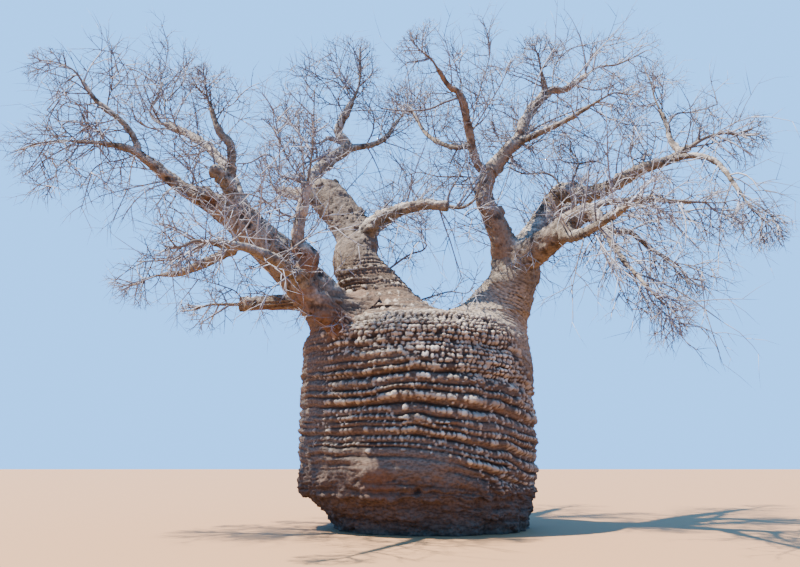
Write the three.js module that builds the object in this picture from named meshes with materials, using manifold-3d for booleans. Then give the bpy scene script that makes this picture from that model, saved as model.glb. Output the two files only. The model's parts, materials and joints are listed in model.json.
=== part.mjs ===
// A bare baobab: a broad, bulging trunk that forks low down into two short stems, the boughs that
// leave them, and a mass of leafless twigs at the end of each bough.
// Millimetres, +Z up. The origin is the middle of the flat cut where the trunk meets the ground.
import * as THREE from "three";
import { mergeVertices } from "three/addons/utils/BufferGeometryUtils.js";
import Module from "manifold-3d";

const wasm = await Module();
wasm.setup();

// Driving dimensions
const gap = 0.3; // clear space between neighbouring solids
const trunkWidth = 3280; // across the belly, left to right
const trunkDepth = 2900; // across the belly, front to back
const trunkSides = 22;
const stemSides = 12;
const boughSides = 8;
const thinSides = 6;
const ringsPerRun = 1.5; // rings along a limb for each run of its course
const thinRadius = 130; // boughs that start slimmer than this have the fewer sides
const roundEndShare = 0.93; // a stump starts to round off here along its length
const roundEndDepth = 0.8; // how far a stump rounds off by its end: 1 would bring it to a point
const steepCourse = 0.8; // a course whose rise has a sine over this counts as upright
const stemCut = { left_stem: 0.25, right_stem: 0.46 }; // where each stem leaves the trunk's own wood

// The trunk from the ground to the saddle of its fork: height, sideways shift, share of the width.
const trunkRings = [
  [0, 0, 0.79],
  [120, -30, 0.82],
  [240, -80, 0.865],
  [360, -130, 0.9],
  [470, -185, 0.972],
  [920, -190, 1],
  [1970, -190, 1],
  [2370, -205, 0.985],
  [2590, -190, 0.93],
  [2700, -120, 0.79],
  [2790, 40, 0.55],
  [2880, 240, 0.22],
];

// The bark's main ledges, between the foot's lip and the dome: each swells to a brow over the crease
// at its lower edge. All dive towards the right of the trunk's middle, most of all low down.
const ledgesFrom = 470;
const ledgesTo = 2590;
const ledgeCount = 6;
const ledgeDepth = 60; // how far a crease lies in from the brows
const ledgeShape = [[0, 1], [0.16, 0.35], [0.42, 0], [0.75, 0.22]]; // share of its height, of its depth
const ledgeDive = 0.2; // drop for each millimetre to the right
const diveFrom = -150; // sideways place where the dive begins
const diveGrows = [250, 900]; // heights between which it sets in
const diveFades = [1200, 2500]; // heights between which it dies out

// Each limb: its name, what it grows from, where (a point, or a share of the parent's length), its
// radius at the root and at the tip with the power of its taper, and its course as runs of
// [length, compass bearing from +X towards +Y, rise above level], in millimetres and degrees.
const limbs = new Map();
function limb(name, parent, start, girth, runs) {
  const from = Array.isArray(start)
    ? new THREE.Vector3(...start)
    : limbs.get(parent).axis.getPoint(start);
  const joints = [from];
  for (const [length, bearing, rise] of runs)
    joints.push(joints.at(-1).clone().addScaledVector(heading(bearing, rise), length));
  const axis = new THREE.CatmullRomCurve3(joints, false, "catmullrom", 0.5);
  limbs.set(name, { name, parent, axis, girth, runs: runs.length });
}

function heading(bearing, rise) {
  const b = THREE.MathUtils.degToRad(bearing);
  const r = THREE.MathUtils.degToRad(rise);
  return new THREE.Vector3(Math.cos(b) * Math.cos(r), Math.sin(b) * Math.cos(r), Math.sin(r));
}

// The two stems that the trunk forks into
limb("left_stem", "trunk", [-630, 150, 2600], [960, 300, 5.0],
  [[550, 180, 79], [705, 186, 59], [470, 90, 65], [660, 153, 60], [630, 159, 48]]);
limb("right_stem", "trunk", [700, 0, 2420], [772, 339, 2.9],
  [[560, 6, 62], [600, -24, 57], [320, 23, 90]]);

// Boughs on the left
limb("left_arm", "trunk", [-1190, -450, 2620], [368, 27, 2.0],
  [[970, -151, 42], [1170, -160, 40], [360, -163, 25], [450, -166, 26], [680, -159, 34],
    [430, 180, 18], [480, 168, 11]]);
limb("left_up", "left_arm", 0.71, [44, 23, 0.6],
  [[220, -141, 68], [270, -163, 51], [400, -162, 36], [330, -153, 49]]);
limb("left_low", "left_arm", 0.25, [96, 28, 1.1], [[380, 169, -52], [750, 159, -17], [380, 158, -1]]);
limb("left_shoulder", "trunk", [-1100, 60, 2985], [178, 91, 0.9], [[700, -166, 7], [1110, 164, 3]]);
limb("left_rise", "left_arm", 0.24, [122, 56, 2.6],
  [[610, 174, 66], [650, 137, 56], [780, 141, 44], [670, 146, 36], [490, 153, 30]]);
limb("left_stub", "left_arm", 0.26, [114, 79, 1.0], [[510, -126, 56], [230, -123, 35], [120, -156, 8]]);
limb("left_upright", "left_stub", 0.34, [60, 29, 0.6], [[530, -79, 73], [280, -163, 52], [350, -158, 68]]);
limb("front_limb", "trunk", [-1080, -780, 2460], [211, 54, 1.1],
  [[660, -122, 21], [430, -140, 45], [310, -61, 48], [270, -154, 54], [720, -53, 75]]);
limb("front_left", "front_limb", 0.38, [83, 36, 1.4], [[570, -113, 10], [560, -117, 0], [550, -111, -13]]);

// Boughs on the left stem
limb("top_left", "left_stem", 0.89, [116, 49, 0.6],
  [[560, 161, 56], [500, 28, 57], [400, 21, 46], [360, 180, 65], [580, -12, 67]]);
limb("top_left_reach", "top_left", 0.56, [70, 37, 1.4], [[730, 24, 25], [680, 39, 55]]);
limb("centre_bough", "left_stem", 0.57, [157, 68, 1.8],
  [[390, -55, 29], [350, -29, 26], [600, -27, 4], [370, -21, -13]]);
limb("back_left", "left_stem", 0.74, [196, 70, 0.7], [[1130, 120, 36], [2190, 125, 26]]);
limb("back_mid", "left_stem", 0.6, [206, 75, 0.7], [[1150, 74, 36], [2140, 74, 29]]);

// Boughs on the right stem
limb("tall_limb", "right_stem", 0.95, [223, 110, 1.5],
  [[270, -134, 42], [470, -150, 64], [360, -167, 68], [440, 0, 77]]);
limb("tall_left", "tall_limb", 0.96, [81, 30, 1.5],
  [[310, -149, 42], [900, -122, 62], [250, -153, 34], [300, -140, 41]]);
limb("tall_left_side", "tall_left", 0.31, [40, 28, 0.9],
  [[260, 151, 10], [330, 148, 30], [410, 136, 45], [510, 118, 56]]);
limb("tall_right", "tall_limb", 0.97, [107, 39, 0.8],
  [[550, 32, 52], [470, 28, 47], [500, 43, 64], [790, 24, 52], [360, 18, 20], [670, 23, 40]]);
limb("tall_right_low", "tall_right", 0.27, [50, 29, 1.5], [[800, -26, 14], [440, -37, 15]]);
limb("tall_fan", "tall_right", 0.63, [61, 29, 0.4], [[140, 25, 69], [250, -114, 37]]);
limb("back_tall", "tall_limb", 0.9, [94, 45, 0.9], [[1200, 58, 44], [1070, 69, 37], [940, 72, 32]]);
limb("right_arm", "right_stem", 0.91, [229, 79, 1.0], [[740, -56, 14], [590, -41, 25], [310, -41, -42]]);
limb("right_back", "right_stem", 0.91, [260, 54, 1.4],
  [[960, 54, 39], [720, 37, 54], [390, -35, 47], [510, -60, -24], [380, -41, 1], [550, -29, 20],
    [430, -14, 15], [330, -19, 27]]);
limb("back_right", "right_stem", 0.89, [213, 75, 1.0], [[1390, 65, 33], [1490, 55, 35], [1450, 52, 33]]);
limb("right_up", "right_back", 0.94, [48, 30, 0.8], [[340, 120, 66], [240, 72, 74], [360, 134, 77]]);
limb("right_droop", "right_back", 0.86, [52, 25, 0.9],
  [[350, -37, -4], [300, -50, -31], [250, -43, -55], [530, -69, -66]]);
limb("right_mid", "right_arm", 0.67, [53, 22, 1.4],
  [[250, -38, 16], [410, -29, -3], [350, -36, -17], [350, -17, -11]]);
limb("right_low", "right_arm", 0.85, [57, 26, 1.9],
  [[310, 22, -34], [320, 18, 2], [350, 29, -26], [410, 30, -15]]);
limb("right_hang", "right_arm", 0.89, [51, 21, 2.1], [[900, -82, -53], [610, -71, -52]]);
limb("front_right", "right_arm", 0.44, [97, 34, 1.1], [[740, -87, -26], [1420, -88, -10]]);

// Limbs that end in a rounded stump, with no twigs past them
const stumps = new Set(["left_stem", "right_stem", "left_stub", "tall_limb", "right_arm"]);

// Each mass of twigs: the bough it finishes, how far its space reaches past that bough's tip, the
// bearing and rise of that space, half its width, and how its twigs turn up (or, below 0, hang).
const spaces = [];
function space(bough, reach, bearing, rise, halfWidth, lift) {
  const axis = heading(bearing, rise);
  const tip = limbs.get(bough).axis.getPoint(1);
  const centre = tip.clone().addScaledVector(axis, reach / 2);
  spaces.push({ bough, index: spaces.length, reach, axis, tip, centre, halfWidth, lift });
}

space("left_arm", 1000, 176, -18, 660, -0.1);
space("left_up", 720, 178, -8, 500, -0.04);
space("left_low", 950, 161, 4, 520, -0.06);
space("left_shoulder", 1100, 165, -12, 400, -0.1);
space("left_rise", 1700, 80, 82, 760, 0.06);
space("left_upright", 620, -100, 80, 430, 0.08);
space("front_limb", 1350, -162, 76, 480, 0.12);
space("top_left", 1250, -179, 82, 700, 0.12);
space("top_left_reach", 1000, 20, 60, 520, 0.08);
space("centre_bough", 1000, -40, 62, 400, 0.1);
space("tall_left", 700, -150, 32, 540, 0.0);
space("tall_left_side", 1040, 146, 54, 480, 0.06);
space("tall_right", 1650, 12, 26, 660, 0.03);
space("tall_right_low", 880, -13, 0, 440, -0.02);
space("tall_fan", 680, -110, 60, 470, 0.12);
space("right_up", 1140, 41, 66, 560, 0.08);
space("right_back", 1150, -11, 6, 560, -0.06);
space("right_droop", 930, -36, -64, 400, -0.16);
space("right_mid", 700, -12, -34, 400, -0.16);
space("right_low", 860, 15, -26, 420, -0.14);
space("right_hang", 760, -64, -66, 420, -0.16);
space("back_left", 1750, 127, 36, 820, 0.04);
space("back_mid", 1700, 84, 40, 800, 0.05);
space("back_right", 1750, 50, 36, 820, 0.02);
space("back_tall", 1370, 80, 54, 720, 0.08);
space("front_right", 760, -81, -16, 430, -0.1);
space("front_left", 740, -109, -20, 430, -0.08);

// How a mass branches. Each level: twigs on each parent, where they stand along it, how far they
// turn off it in degrees, their length (of the reach, then of the parent), steps and least radius.
const twigSides = 3;
const stemSteps = 4;
const stemReach = 0.9; // the stem's length as a share of the reach
const stemPull = 0.6; // how soon a stem turns from its bough's course to its space's axis
const levels = [
  { count: 5, from: 0.08, to: 0.94, turnLow: 62, turnHigh: 34, length: 0.8, steps: 2, least: 11 },
  { count: 2, from: 0.3, to: 0.84, turnLow: 56, turnHigh: 34, length: 0.62, steps: 1, least: 8 },
];
const goldenAngle = 137.5;
const thickestTwig = 45; // a mass's stem is no thicker than this at its root, even on a broken bough
const wander = 0.32; // how crooked a twig is
const childGirth = 0.5; // a twig's root radius as a share of its parent's there
const tipGirth = 0.4; // a twig's radius at its last joint as a share of its root's
const spaceMargin = 0.94; // a twig stops at this share of the way out of its space
const limbClearance = 30;
const twigClearance = 6;
const familySize = 16; // twigs are numbered parent * familySize + place
const stagger = 0.7; // how far a twig's place strays from even spacing, in spacings
const shortest = 0.25; // a twig cut shorter than this share of its level's length is skipped
const lengthSpread = [0.8, 1.2]; // a twig's length, as a share of its level's, by chance
const courseSteps = 12; // straight pieces that stand for a limb's course where clearance is tested

// A steady number from 0 to 1 for each twig and use: the fraction of a large multiple of a sine.
function chance(index, id, use) {
  const v = Math.sin(index * 12.9898 + id * 78.233 + use * 37.719) * 43758.5453;
  return v - Math.floor(v);
}

// A limb's radius: tip + (root - tip) * (1 - t) ^ power, drawn in over the last part of a stump.
function limbRadius({ name, girth: [root, tip, power] }, t) {
  const radius = tip + (root - tip) * (1 - t) ** power;
  if (!stumps.has(name) || t <= roundEndShare) return radius;
  const drawnIn = (t - roundEndShare) / (1 - roundEndShare);
  return radius * Math.sqrt(1 - roundEndDepth * drawnIn * drawnIn);
}

// A closed geometry as a solid. Only position is left, so that shared vertices merge.
function solidOf(geometry) {
  geometry.deleteAttribute("normal");
  geometry.deleteAttribute("uv");
  const merged = mergeVertices(geometry);
  return new wasm.Manifold(
    new wasm.Mesh({
      numProp: 3,
      vertProperties: merged.attributes.position.array,
      triVerts: new Uint32Array(merged.index.array),
    }),
  );
}

// Bends a cylinder along a course: ring t goes to place(t, angle).
function bentCylinder(sides, steps, pointed, place) {
  const geometry = new THREE.CylinderGeometry(pointed ? 0 : 1, 1, 1, sides, steps);
  const position = geometry.attributes.position;
  const vertex = new THREE.Vector3();
  for (let i = 0; i < position.count; i++) {
    vertex.fromBufferAttribute(position, i);
    const ring = Math.round((vertex.y + 0.5) * steps);
    const side = Math.round((Math.atan2(vertex.x, vertex.z) * sides) / (2 * Math.PI));
    const angle = (((side + sides) % sides) * 2 * Math.PI) / sides;
    const onAxis = vertex.x === 0 && vertex.z === 0;
    position.setXYZ(i, ...place(ring, angle, onAxis));
  }
  return solidOf(geometry);
}

// A tube of the given radii round a course of points, square to the tangent at each.
function tube(points, tangents, radii, sides, pointed) {
  const level = sidewaysOf(points.at(-1).clone().sub(points[0]).normalize());
  return bentCylinder(sides, points.length - 1, pointed, (ring, angle, onAxis) => {
    const point = points[ring];
    const across = level.clone().cross(tangents[ring]).normalize();
    const up = across.clone().cross(tangents[ring]);
    const radius = onAxis ? 0 : radii[ring];
    return point
      .clone()
      .addScaledVector(across, radius * Math.sin(angle))
      .addScaledVector(up, radius * Math.cos(angle))
      .toArray();
  });
}

// The upright axis, or the one from front to back where a course itself is near upright.
function sidewaysOf(course) {
  return Math.abs(course.z) > steepCourse ? new THREE.Vector3(0, 1, 0) : new THREE.Vector3(0, 0, 1);
}

// A limb between two shares of its length, grown all round by the amount given.
function limbSolid(part, from = 0, to = 1, grown = 0) {
  const sides = part.parent === "trunk" && part.name.endsWith("_stem")
    ? stemSides
    : part.girth[0] < thinRadius ? thinSides : boughSides;
  const steps = Math.max(3, Math.round(part.runs * ringsPerRun * (to - from)));
  const shares = Array.from({ length: steps + 1 }, (_, i) => from + ((to - from) * i) / steps);
  if (stumps.has(part.name) && to === 1) shares.splice(-1, 0, (1 + roundEndShare) / 2);
  const points = shares.map((t) => part.axis.getPoint(t));
  const tangents = shares.map((t) => part.axis.getTangent(t));
  const radii = shares.map((t) => limbRadius(part, t) + grown / Math.cos(Math.PI / sides));
  points[0].addScaledVector(tangents[0], -grown);
  points.at(-1).addScaledVector(tangents.at(-1), grown);
  return tube(points, tangents, radii, sides, false);
}

// The trunk's rings with the ledges worked in: height, sideways shift, share of the width, depth in.
function ledgedRings() {
  const ledges = Array.from({ length: ledgeCount * ledgeShape.length }, (_, i) => {
    const [up, drawnIn] = ledgeShape[i % ledgeShape.length];
    const ledge = Math.floor(i / ledgeShape.length) + up;
    const height = THREE.MathUtils.lerp(ledgesFrom, ledgesTo, ledge / ledgeCount);
    const over = trunkRings.findIndex(([top]) => top > height);
    const [low, high] = [trunkRings[over - 1], trunkRings[over]];
    const t = (height - low[0]) / (high[0] - low[0]);
    const [shift, share] = [1, 2].map((i) => THREE.MathUtils.lerp(low[i], high[i], t));
    return [height, shift, share, drawnIn * ledgeDepth];
  });
  const plain = trunkRings.map((ring) => [...ring, 0]);
  const under = plain.filter(([height]) => height < ledgesFrom);
  return [...under, ...ledges, ...plain.filter(([height]) => height >= ledgesTo)];
}

function diveAt(x, height) {
  const steepness = THREE.MathUtils.smoothstep(height, ...diveGrows)
    * (1 - THREE.MathUtils.smoothstep(height, ...diveFades));
  return ledgeDive * Math.max(x - diveFrom, 0) * steepness;
}

// The trunk: oval rings up to the saddle, and the foot of each stem.
function trunkSolid(grown = 0) {
  const rings = ledgedRings();
  const body = bentCylinder(trunkSides, rings.length - 1, false, (ring, angle, onAxis) => {
    const [height, shift, share, inset] = rings[ring];
    const across = onAxis ? 0 : (share * trunkWidth) / 2 - inset + grown;
    const deep = onAxis ? 0 : (share * trunkDepth) / 2 - inset + grown;
    const lift = ring === rings.length - 1 ? grown : 0;
    // The angle runs from +Y, and from +X a quarter turn on, as the cylinder's own does.
    const x = shift + across * Math.sin(angle);
    return [x, -deep * Math.cos(angle), height + lift - diveAt(x, height)];
  });
  return Object.entries(stemCut).reduce(
    (solid, [name, cut]) => solid.add(limbSolid(limbs.get(name), 0, cut, grown)),
    body,
  );
}

// The biggest of the bodies that a cut leaves.
function mainBody(solid) {
  return solid.decompose().sort((a, b) => b.volume() - a.volume())[0];
}

// Distance from a point to a limb's or twig's course, with the radius there.
const closest = new THREE.Vector3();
function clearOf(point, course, room) {
  return course.every(({ line, radius }) => {
    line.closestPointToPoint(point, true, closest);
    return closest.distanceTo(point) > radius + room;
  });
}

function courseOf(points, radii) {
  return points.slice(1).map((point, i) => ({
    line: new THREE.Line3(points[i], point),
    radius: Math.max(radii[i], radii[i + 1]),
  }));
}

// How far out of a space's middle a point lies: 1 on its edge. The space is an egg along its axis.
function outness(place, point) {
  return eggVector(place, point.clone().sub(place.centre)).length();
}

function eggVector({ axis, reach, halfWidth }, vector) {
  const along = vector.dot(axis);
  return vector
    .clone()
    .divideScalar(halfWidth)
    .addScaledVector(axis, along * (2 / reach - 1 / halfWidth));
}

function isOwn(place, point) {
  const own = outness(place, point);
  return own <= 1 && spaces.every((other) => other === place || outness(other, point) > own);
}

// How far a straight twig can run before it leaves its space.
function roomAhead(place, start, direction) {
  const p = eggVector(place, start.clone().sub(place.centre));
  const d = eggVector(place, direction);
  const inside = p.dot(d) ** 2 - d.dot(d) * (p.dot(p) - 1);
  return inside <= 0 ? 0 : (Math.sqrt(inside) - p.dot(d)) / d.dot(d);
}

// A crooked twig: each step leans by chance, up or down by its space's lift, and towards the
// space's own axis by the given pull.
function growTwig(place, id, start, direction, length, root, steps, pull = 0) {
  const points = [start];
  const tangents = [direction.clone()];
  const heads = direction.clone();
  for (let i = 1; i <= steps; i++) {
    points.push(points.at(-1).clone().addScaledVector(heads, length / steps));
    tangents.push(heads.clone());
    const lean = [1, 2, 3].map((axis) => wander * (chance(place.index, id, i * 4 + axis) * 2 - 1));
    heads.lerp(place.axis, pull).add(new THREE.Vector3(...lean));
    heads.z += place.lift;
    heads.normalize();
  }
  const radii = points.map((_, i) => root * (1 - (1 - tipGirth) * (i / steps)));
  return { id, points, tangents, radii, length };
}

// A twig leaves its parent at a share of its length, turned off it and round it.
function sideTwig(place, parent, level, k) {
  const id = parent.id * familySize + k;
  const slot = (k + 0.5 + stagger * (chance(place.index, id, 1) - 0.5)) / level.count;
  const share = THREE.MathUtils.lerp(level.from, level.to, slot);
  const at = share * (parent.points.length - 1);
  const joint = Math.min(Math.floor(at), parent.points.length - 2);
  const start = parent.points[joint].clone().lerp(parent.points[joint + 1], at - joint);
  const ahead = parent.points[joint + 1].clone().sub(parent.points[joint]).normalize();
  const side = sidewaysOf(ahead).cross(ahead).normalize();
  const round = THREE.MathUtils.degToRad(goldenAngle * k + 360 * chance(place.index, parent.id, 2));
  const turn = THREE.MathUtils.degToRad(THREE.MathUtils.lerp(level.turnLow, level.turnHigh, share));
  const outwards = side.applyAxisAngle(ahead, round);
  const direction = ahead.multiplyScalar(Math.cos(turn)).addScaledVector(outwards, Math.sin(turn));
  const wanted = level.length * (parent.id === 1 ? place.reach : parent.length);
  const length = wanted * THREE.MathUtils.lerp(...lengthSpread, chance(place.index, id, 3));
  const room = spaceMargin * roomAhead(place, start, direction);
  const radius = THREE.MathUtils.lerp(parent.radii[joint], parent.radii[joint + 1], at - joint);
  const root = Math.max(level.least, childGirth * radius);
  return growTwig(place, id, start, direction, Math.min(length, room), root, level.steps);
}

// A mass: one stem, side twigs on it and twigs on those, where they fit. A twig is skipped where it
// would be a mere nub, leave its space, or touch a limb or the twigs of another mass.
function growMass(place, limbCourses, otherTwigs) {
  const { axis, girth } = limbs.get(place.bough);
  const onwards = axis.getTangent(1);
  const start = place.tip.clone().addScaledVector(onwards, gap);
  const stemLength = stemReach * place.reach;
  const root = Math.min(girth[1], thickestTwig);
  const stem = growTwig(place, 1, start, onwards, stemLength, root, stemSteps, stemPull);
  const twigs = [stem];
  let parents = [stem];
  for (const level of levels) {
    const grown = [];
    for (const parent of parents)
      for (let k = 0; k < level.count; k++) {
        const twig = sideTwig(place, parent, level, k);
        const tests = twig.points.slice(1).flatMap((p, i) => [p, p.clone().lerp(twig.points[i], 0.5)]);
        const fits = twig.length > shortest * level.length * parent.length
          && tests.every((p) => isOwn(place, p))
          && tests.every((p) => clearOf(p, limbCourses, limbClearance + twig.radii[0]));
        if (fits && clearOfTwigs(twig, otherTwigs)) grown.push(twig);
      }
    twigs.push(...grown);
    parents = grown;
  }
  return twigs;
}

// Closeness is tested at points no further apart than a twig is thick.
function clearOfTwigs(twig, others) {
  const near = others.filter(({ line, radius }) => {
    const reach = radius + twig.radii[0] + twigClearance + twig.length;
    return line.closestPointToPoint(twig.points[0], true, closest).distanceTo(twig.points[0]) < reach;
  });
  return twig.points.slice(1).every((point, i) => {
    const steps = Math.ceil(point.distanceTo(twig.points[i]) / twigClearance);
    const spots = Array.from({ length: steps + 1 }, (_, n) => point.clone().lerp(twig.points[i], n / steps));
    return spots.every((spot) => clearOf(spot, near, twig.radii[0] + twigClearance));
  });
}

// Bark and twig finishes
const finishes = {
  trunk: new THREE.MeshStandardMaterial({ color: 0x7a604b, roughness: 0.95, metalness: 0 }),
  bough: new THREE.MeshStandardMaterial({ color: 0x8c755a, roughness: 0.9, metalness: 0 }),
  twigs: new THREE.MeshStandardMaterial({ color: 0x9a8e84, roughness: 0.85, metalness: 0 }),
};

const baobab = new THREE.Group();
function addNode(name, solid, finish) {
  const { vertProperties, triVerts } = solid.getMesh();
  const geometry = new THREE.BufferGeometry()
    .setAttribute("position", new THREE.BufferAttribute(vertProperties, 3))
    .setIndex(new THREE.BufferAttribute(triVerts, 1));
  geometry.computeVertexNormals();
  const mesh = new THREE.Mesh(geometry, finishes[finish]);
  mesh.name = name;
  baobab.add(mesh);
}

addNode("trunk", trunkSolid(), "trunk");

// Boughs, each cut clear of the wood that came before it.
const cutters = [trunkSolid(gap)];
for (const part of limbs.values()) {
  const cut = stemCut[part.name] ?? 0;
  const from = cut && cut + gap / part.axis.getLength();
  const solid = cutters.reduce((left, cutter, i) => (cut && i === 0 ? left : left.subtract(cutter)),
    limbSolid(part, from));
  addNode(part.name, mainBody(solid), "bough");
  cutters.push(limbSolid(part, from, 1, gap));
}

// Masses of twigs
const limbCourses = [...limbs.values()].flatMap((part) => {
  const shares = Array.from({ length: courseSteps + 1 }, (_, i) => i / courseSteps);
  return courseOf(shares.map((t) => part.axis.getPoint(t)), shares.map((t) => limbRadius(part, t)));
});
const grownTwigs = [];
for (const place of spaces) {
  const twigs = growMass(place, limbCourses, grownTwigs);
  const solids = twigs.map(({ points, tangents, radii }) => tube(points, tangents, radii, twigSides, true));
  addNode(`twigs_${place.bough}`, mainBody(solids.reduce((all, twig) => all.add(twig))), "twigs");
  grownTwigs.push(...twigs.flatMap(({ points, radii }) => courseOf(points, radii)));
}

export default baobab;
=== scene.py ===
# A bare baobab in its looks: creased and knobbly trunk, rough boughs and fine twigs.
# Metres, +Z up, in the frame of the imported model. The limbs and masses repeat its source's rule.
import json
import math
import bpy
import numpy as np
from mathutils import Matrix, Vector

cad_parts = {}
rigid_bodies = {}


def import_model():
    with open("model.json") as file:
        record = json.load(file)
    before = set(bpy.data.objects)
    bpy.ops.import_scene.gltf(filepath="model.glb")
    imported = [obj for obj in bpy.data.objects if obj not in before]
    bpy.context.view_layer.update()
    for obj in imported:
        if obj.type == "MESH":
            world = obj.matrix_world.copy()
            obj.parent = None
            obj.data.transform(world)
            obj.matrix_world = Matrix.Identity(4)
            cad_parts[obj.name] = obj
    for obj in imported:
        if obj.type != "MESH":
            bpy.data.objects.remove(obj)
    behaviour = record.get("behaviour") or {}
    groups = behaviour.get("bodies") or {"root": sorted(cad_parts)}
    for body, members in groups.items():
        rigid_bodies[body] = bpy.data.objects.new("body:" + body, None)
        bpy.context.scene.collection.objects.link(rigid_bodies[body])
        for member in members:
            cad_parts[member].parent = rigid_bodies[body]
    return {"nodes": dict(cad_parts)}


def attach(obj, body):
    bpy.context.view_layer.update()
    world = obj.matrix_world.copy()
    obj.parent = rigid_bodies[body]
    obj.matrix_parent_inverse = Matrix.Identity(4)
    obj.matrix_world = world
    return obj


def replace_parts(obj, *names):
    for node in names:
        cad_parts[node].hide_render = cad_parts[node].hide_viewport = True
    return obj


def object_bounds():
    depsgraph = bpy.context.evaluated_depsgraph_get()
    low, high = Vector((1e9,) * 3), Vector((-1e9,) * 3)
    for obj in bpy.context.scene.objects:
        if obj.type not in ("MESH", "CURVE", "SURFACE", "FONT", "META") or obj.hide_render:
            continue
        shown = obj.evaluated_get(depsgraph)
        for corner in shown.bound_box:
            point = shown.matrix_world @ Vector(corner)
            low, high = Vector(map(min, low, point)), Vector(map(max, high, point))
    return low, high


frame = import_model()
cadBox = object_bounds()
print("frame loaded:", len(frame["nodes"]), "nodes")

view = {
    "place": (-0.43, -8.9, 0.80),
    "pitchDegrees": 16.27,  # above level
    "lens": 27.99, "sensor": 36.0,  # mm
    "farthest": 200.0,
}
camera = bpy.data.objects.new("camera", bpy.data.cameras.new("camera"))
camera.data.lens = view["lens"]
camera.data.sensor_width = view["sensor"]
camera.data.clip_end = view["farthest"]
camera.location = view["place"]
camera.rotation_euler = (math.radians(90 + view["pitchDegrees"]), 0, 0)
bpy.context.scene.collection.objects.link(camera)
bpy.context.scene.camera = camera


# Steady chance and smooth noise

# The source's own steady number from 0 to 1: the fraction of a large multiple of a sine.
def chance(index, twigId, use):
    value = np.sin(index * 12.9898 + twigId * 78.233 + use * 37.719) * 43758.5453
    return value - np.floor(value)


# A steady number from 0 to 1 for a cell of whole-number coordinates, by mixing their bits.
def cellChance(ix, iy, iz, seed):
    mixed = (ix.astype(np.int64) * 374761393 + iy.astype(np.int64) * 668265263
             + iz.astype(np.int64) * 1442695041 + seed * 974634777) & 0xFFFFFFFF
    mixed = ((mixed ^ (mixed >> 13)) * 1274126177) & 0xFFFFFFFF
    mixed = ((mixed ^ (mixed >> 15)) * 2246822519) & 0xFFFFFFFF
    return (mixed ^ (mixed >> 16)) / 4294967295.0


# Value noise from -1 to 1: the chances of a cell's eight corners, blended by 3t^2 - 2t^3 each way.
def noise(x, y, z, seed=0):
    cx, cy, cz = np.floor(x), np.floor(y), np.floor(z)
    fx, fy, fz = x - cx, y - cy, z - cz
    fx, fy, fz = fx * fx * (3 - 2 * fx), fy * fy * (3 - 2 * fy), fz * fz * (3 - 2 * fz)
    total = 0
    for dx in (0, 1):
        for dy in (0, 1):
            for dz in (0, 1):
                weight = (fx if dx else 1 - fx) * (fy if dy else 1 - fy) * (fz if dz else 1 - fz)
                total = total + weight * cellChance(cx + dx, cy + dy, cz + dz, seed)
    return total * 2 - 1


# Octaves of noise, each twice as fine and half as strong as the last.
def roughNoise(x, y, z, seed=0, octaves=3):
    total = 0
    for octave in range(octaves):
        scale = 2.03 ** octave
        total = total + noise(x * scale, y * scale, z * scale, seed + octave * 7) / 2 ** octave
    return total / (2 - 0.5 ** (octaves - 1))


# Rough noise on a grid of points, so many bumps a metre across and up. A level can stand in for the
# height, so that the bumps follow the ledges.
def grain(points, across, up, seed, octaves=1, level=None):
    third = points[..., 2] if level is None else level
    return roughNoise(points[..., 0] * across, points[..., 1] * across, third * up, seed, octaves)


def smoothStep(low, high, value):
    share = np.clip((value - low) / (high - low), 0, 1)
    return share * share * (3 - 2 * share)


def unit(vectors):
    return vectors / np.maximum(np.linalg.norm(vectors, axis=-1, keepdims=True), 1e-12)


# Two directions square to the way ahead and to each other: the first one is level, or, where the
# whole course is steep, square to the depth.
def sideways(ahead, course):
    steep = np.abs(course[..., 2:]) > .8
    across = unit(np.cross(np.where(steep, [0, 1.0, 0], [0, 0, 1.0]), ahead))
    return across, np.cross(ahead, across)


# Directions out from a course, at an angle round it.
def outwards(ahead, course, turn):
    across, up = sideways(ahead, course)
    return across * np.cos(turn) + up * np.sin(turn)


# Limbs: the source's own sizes, in metres

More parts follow.
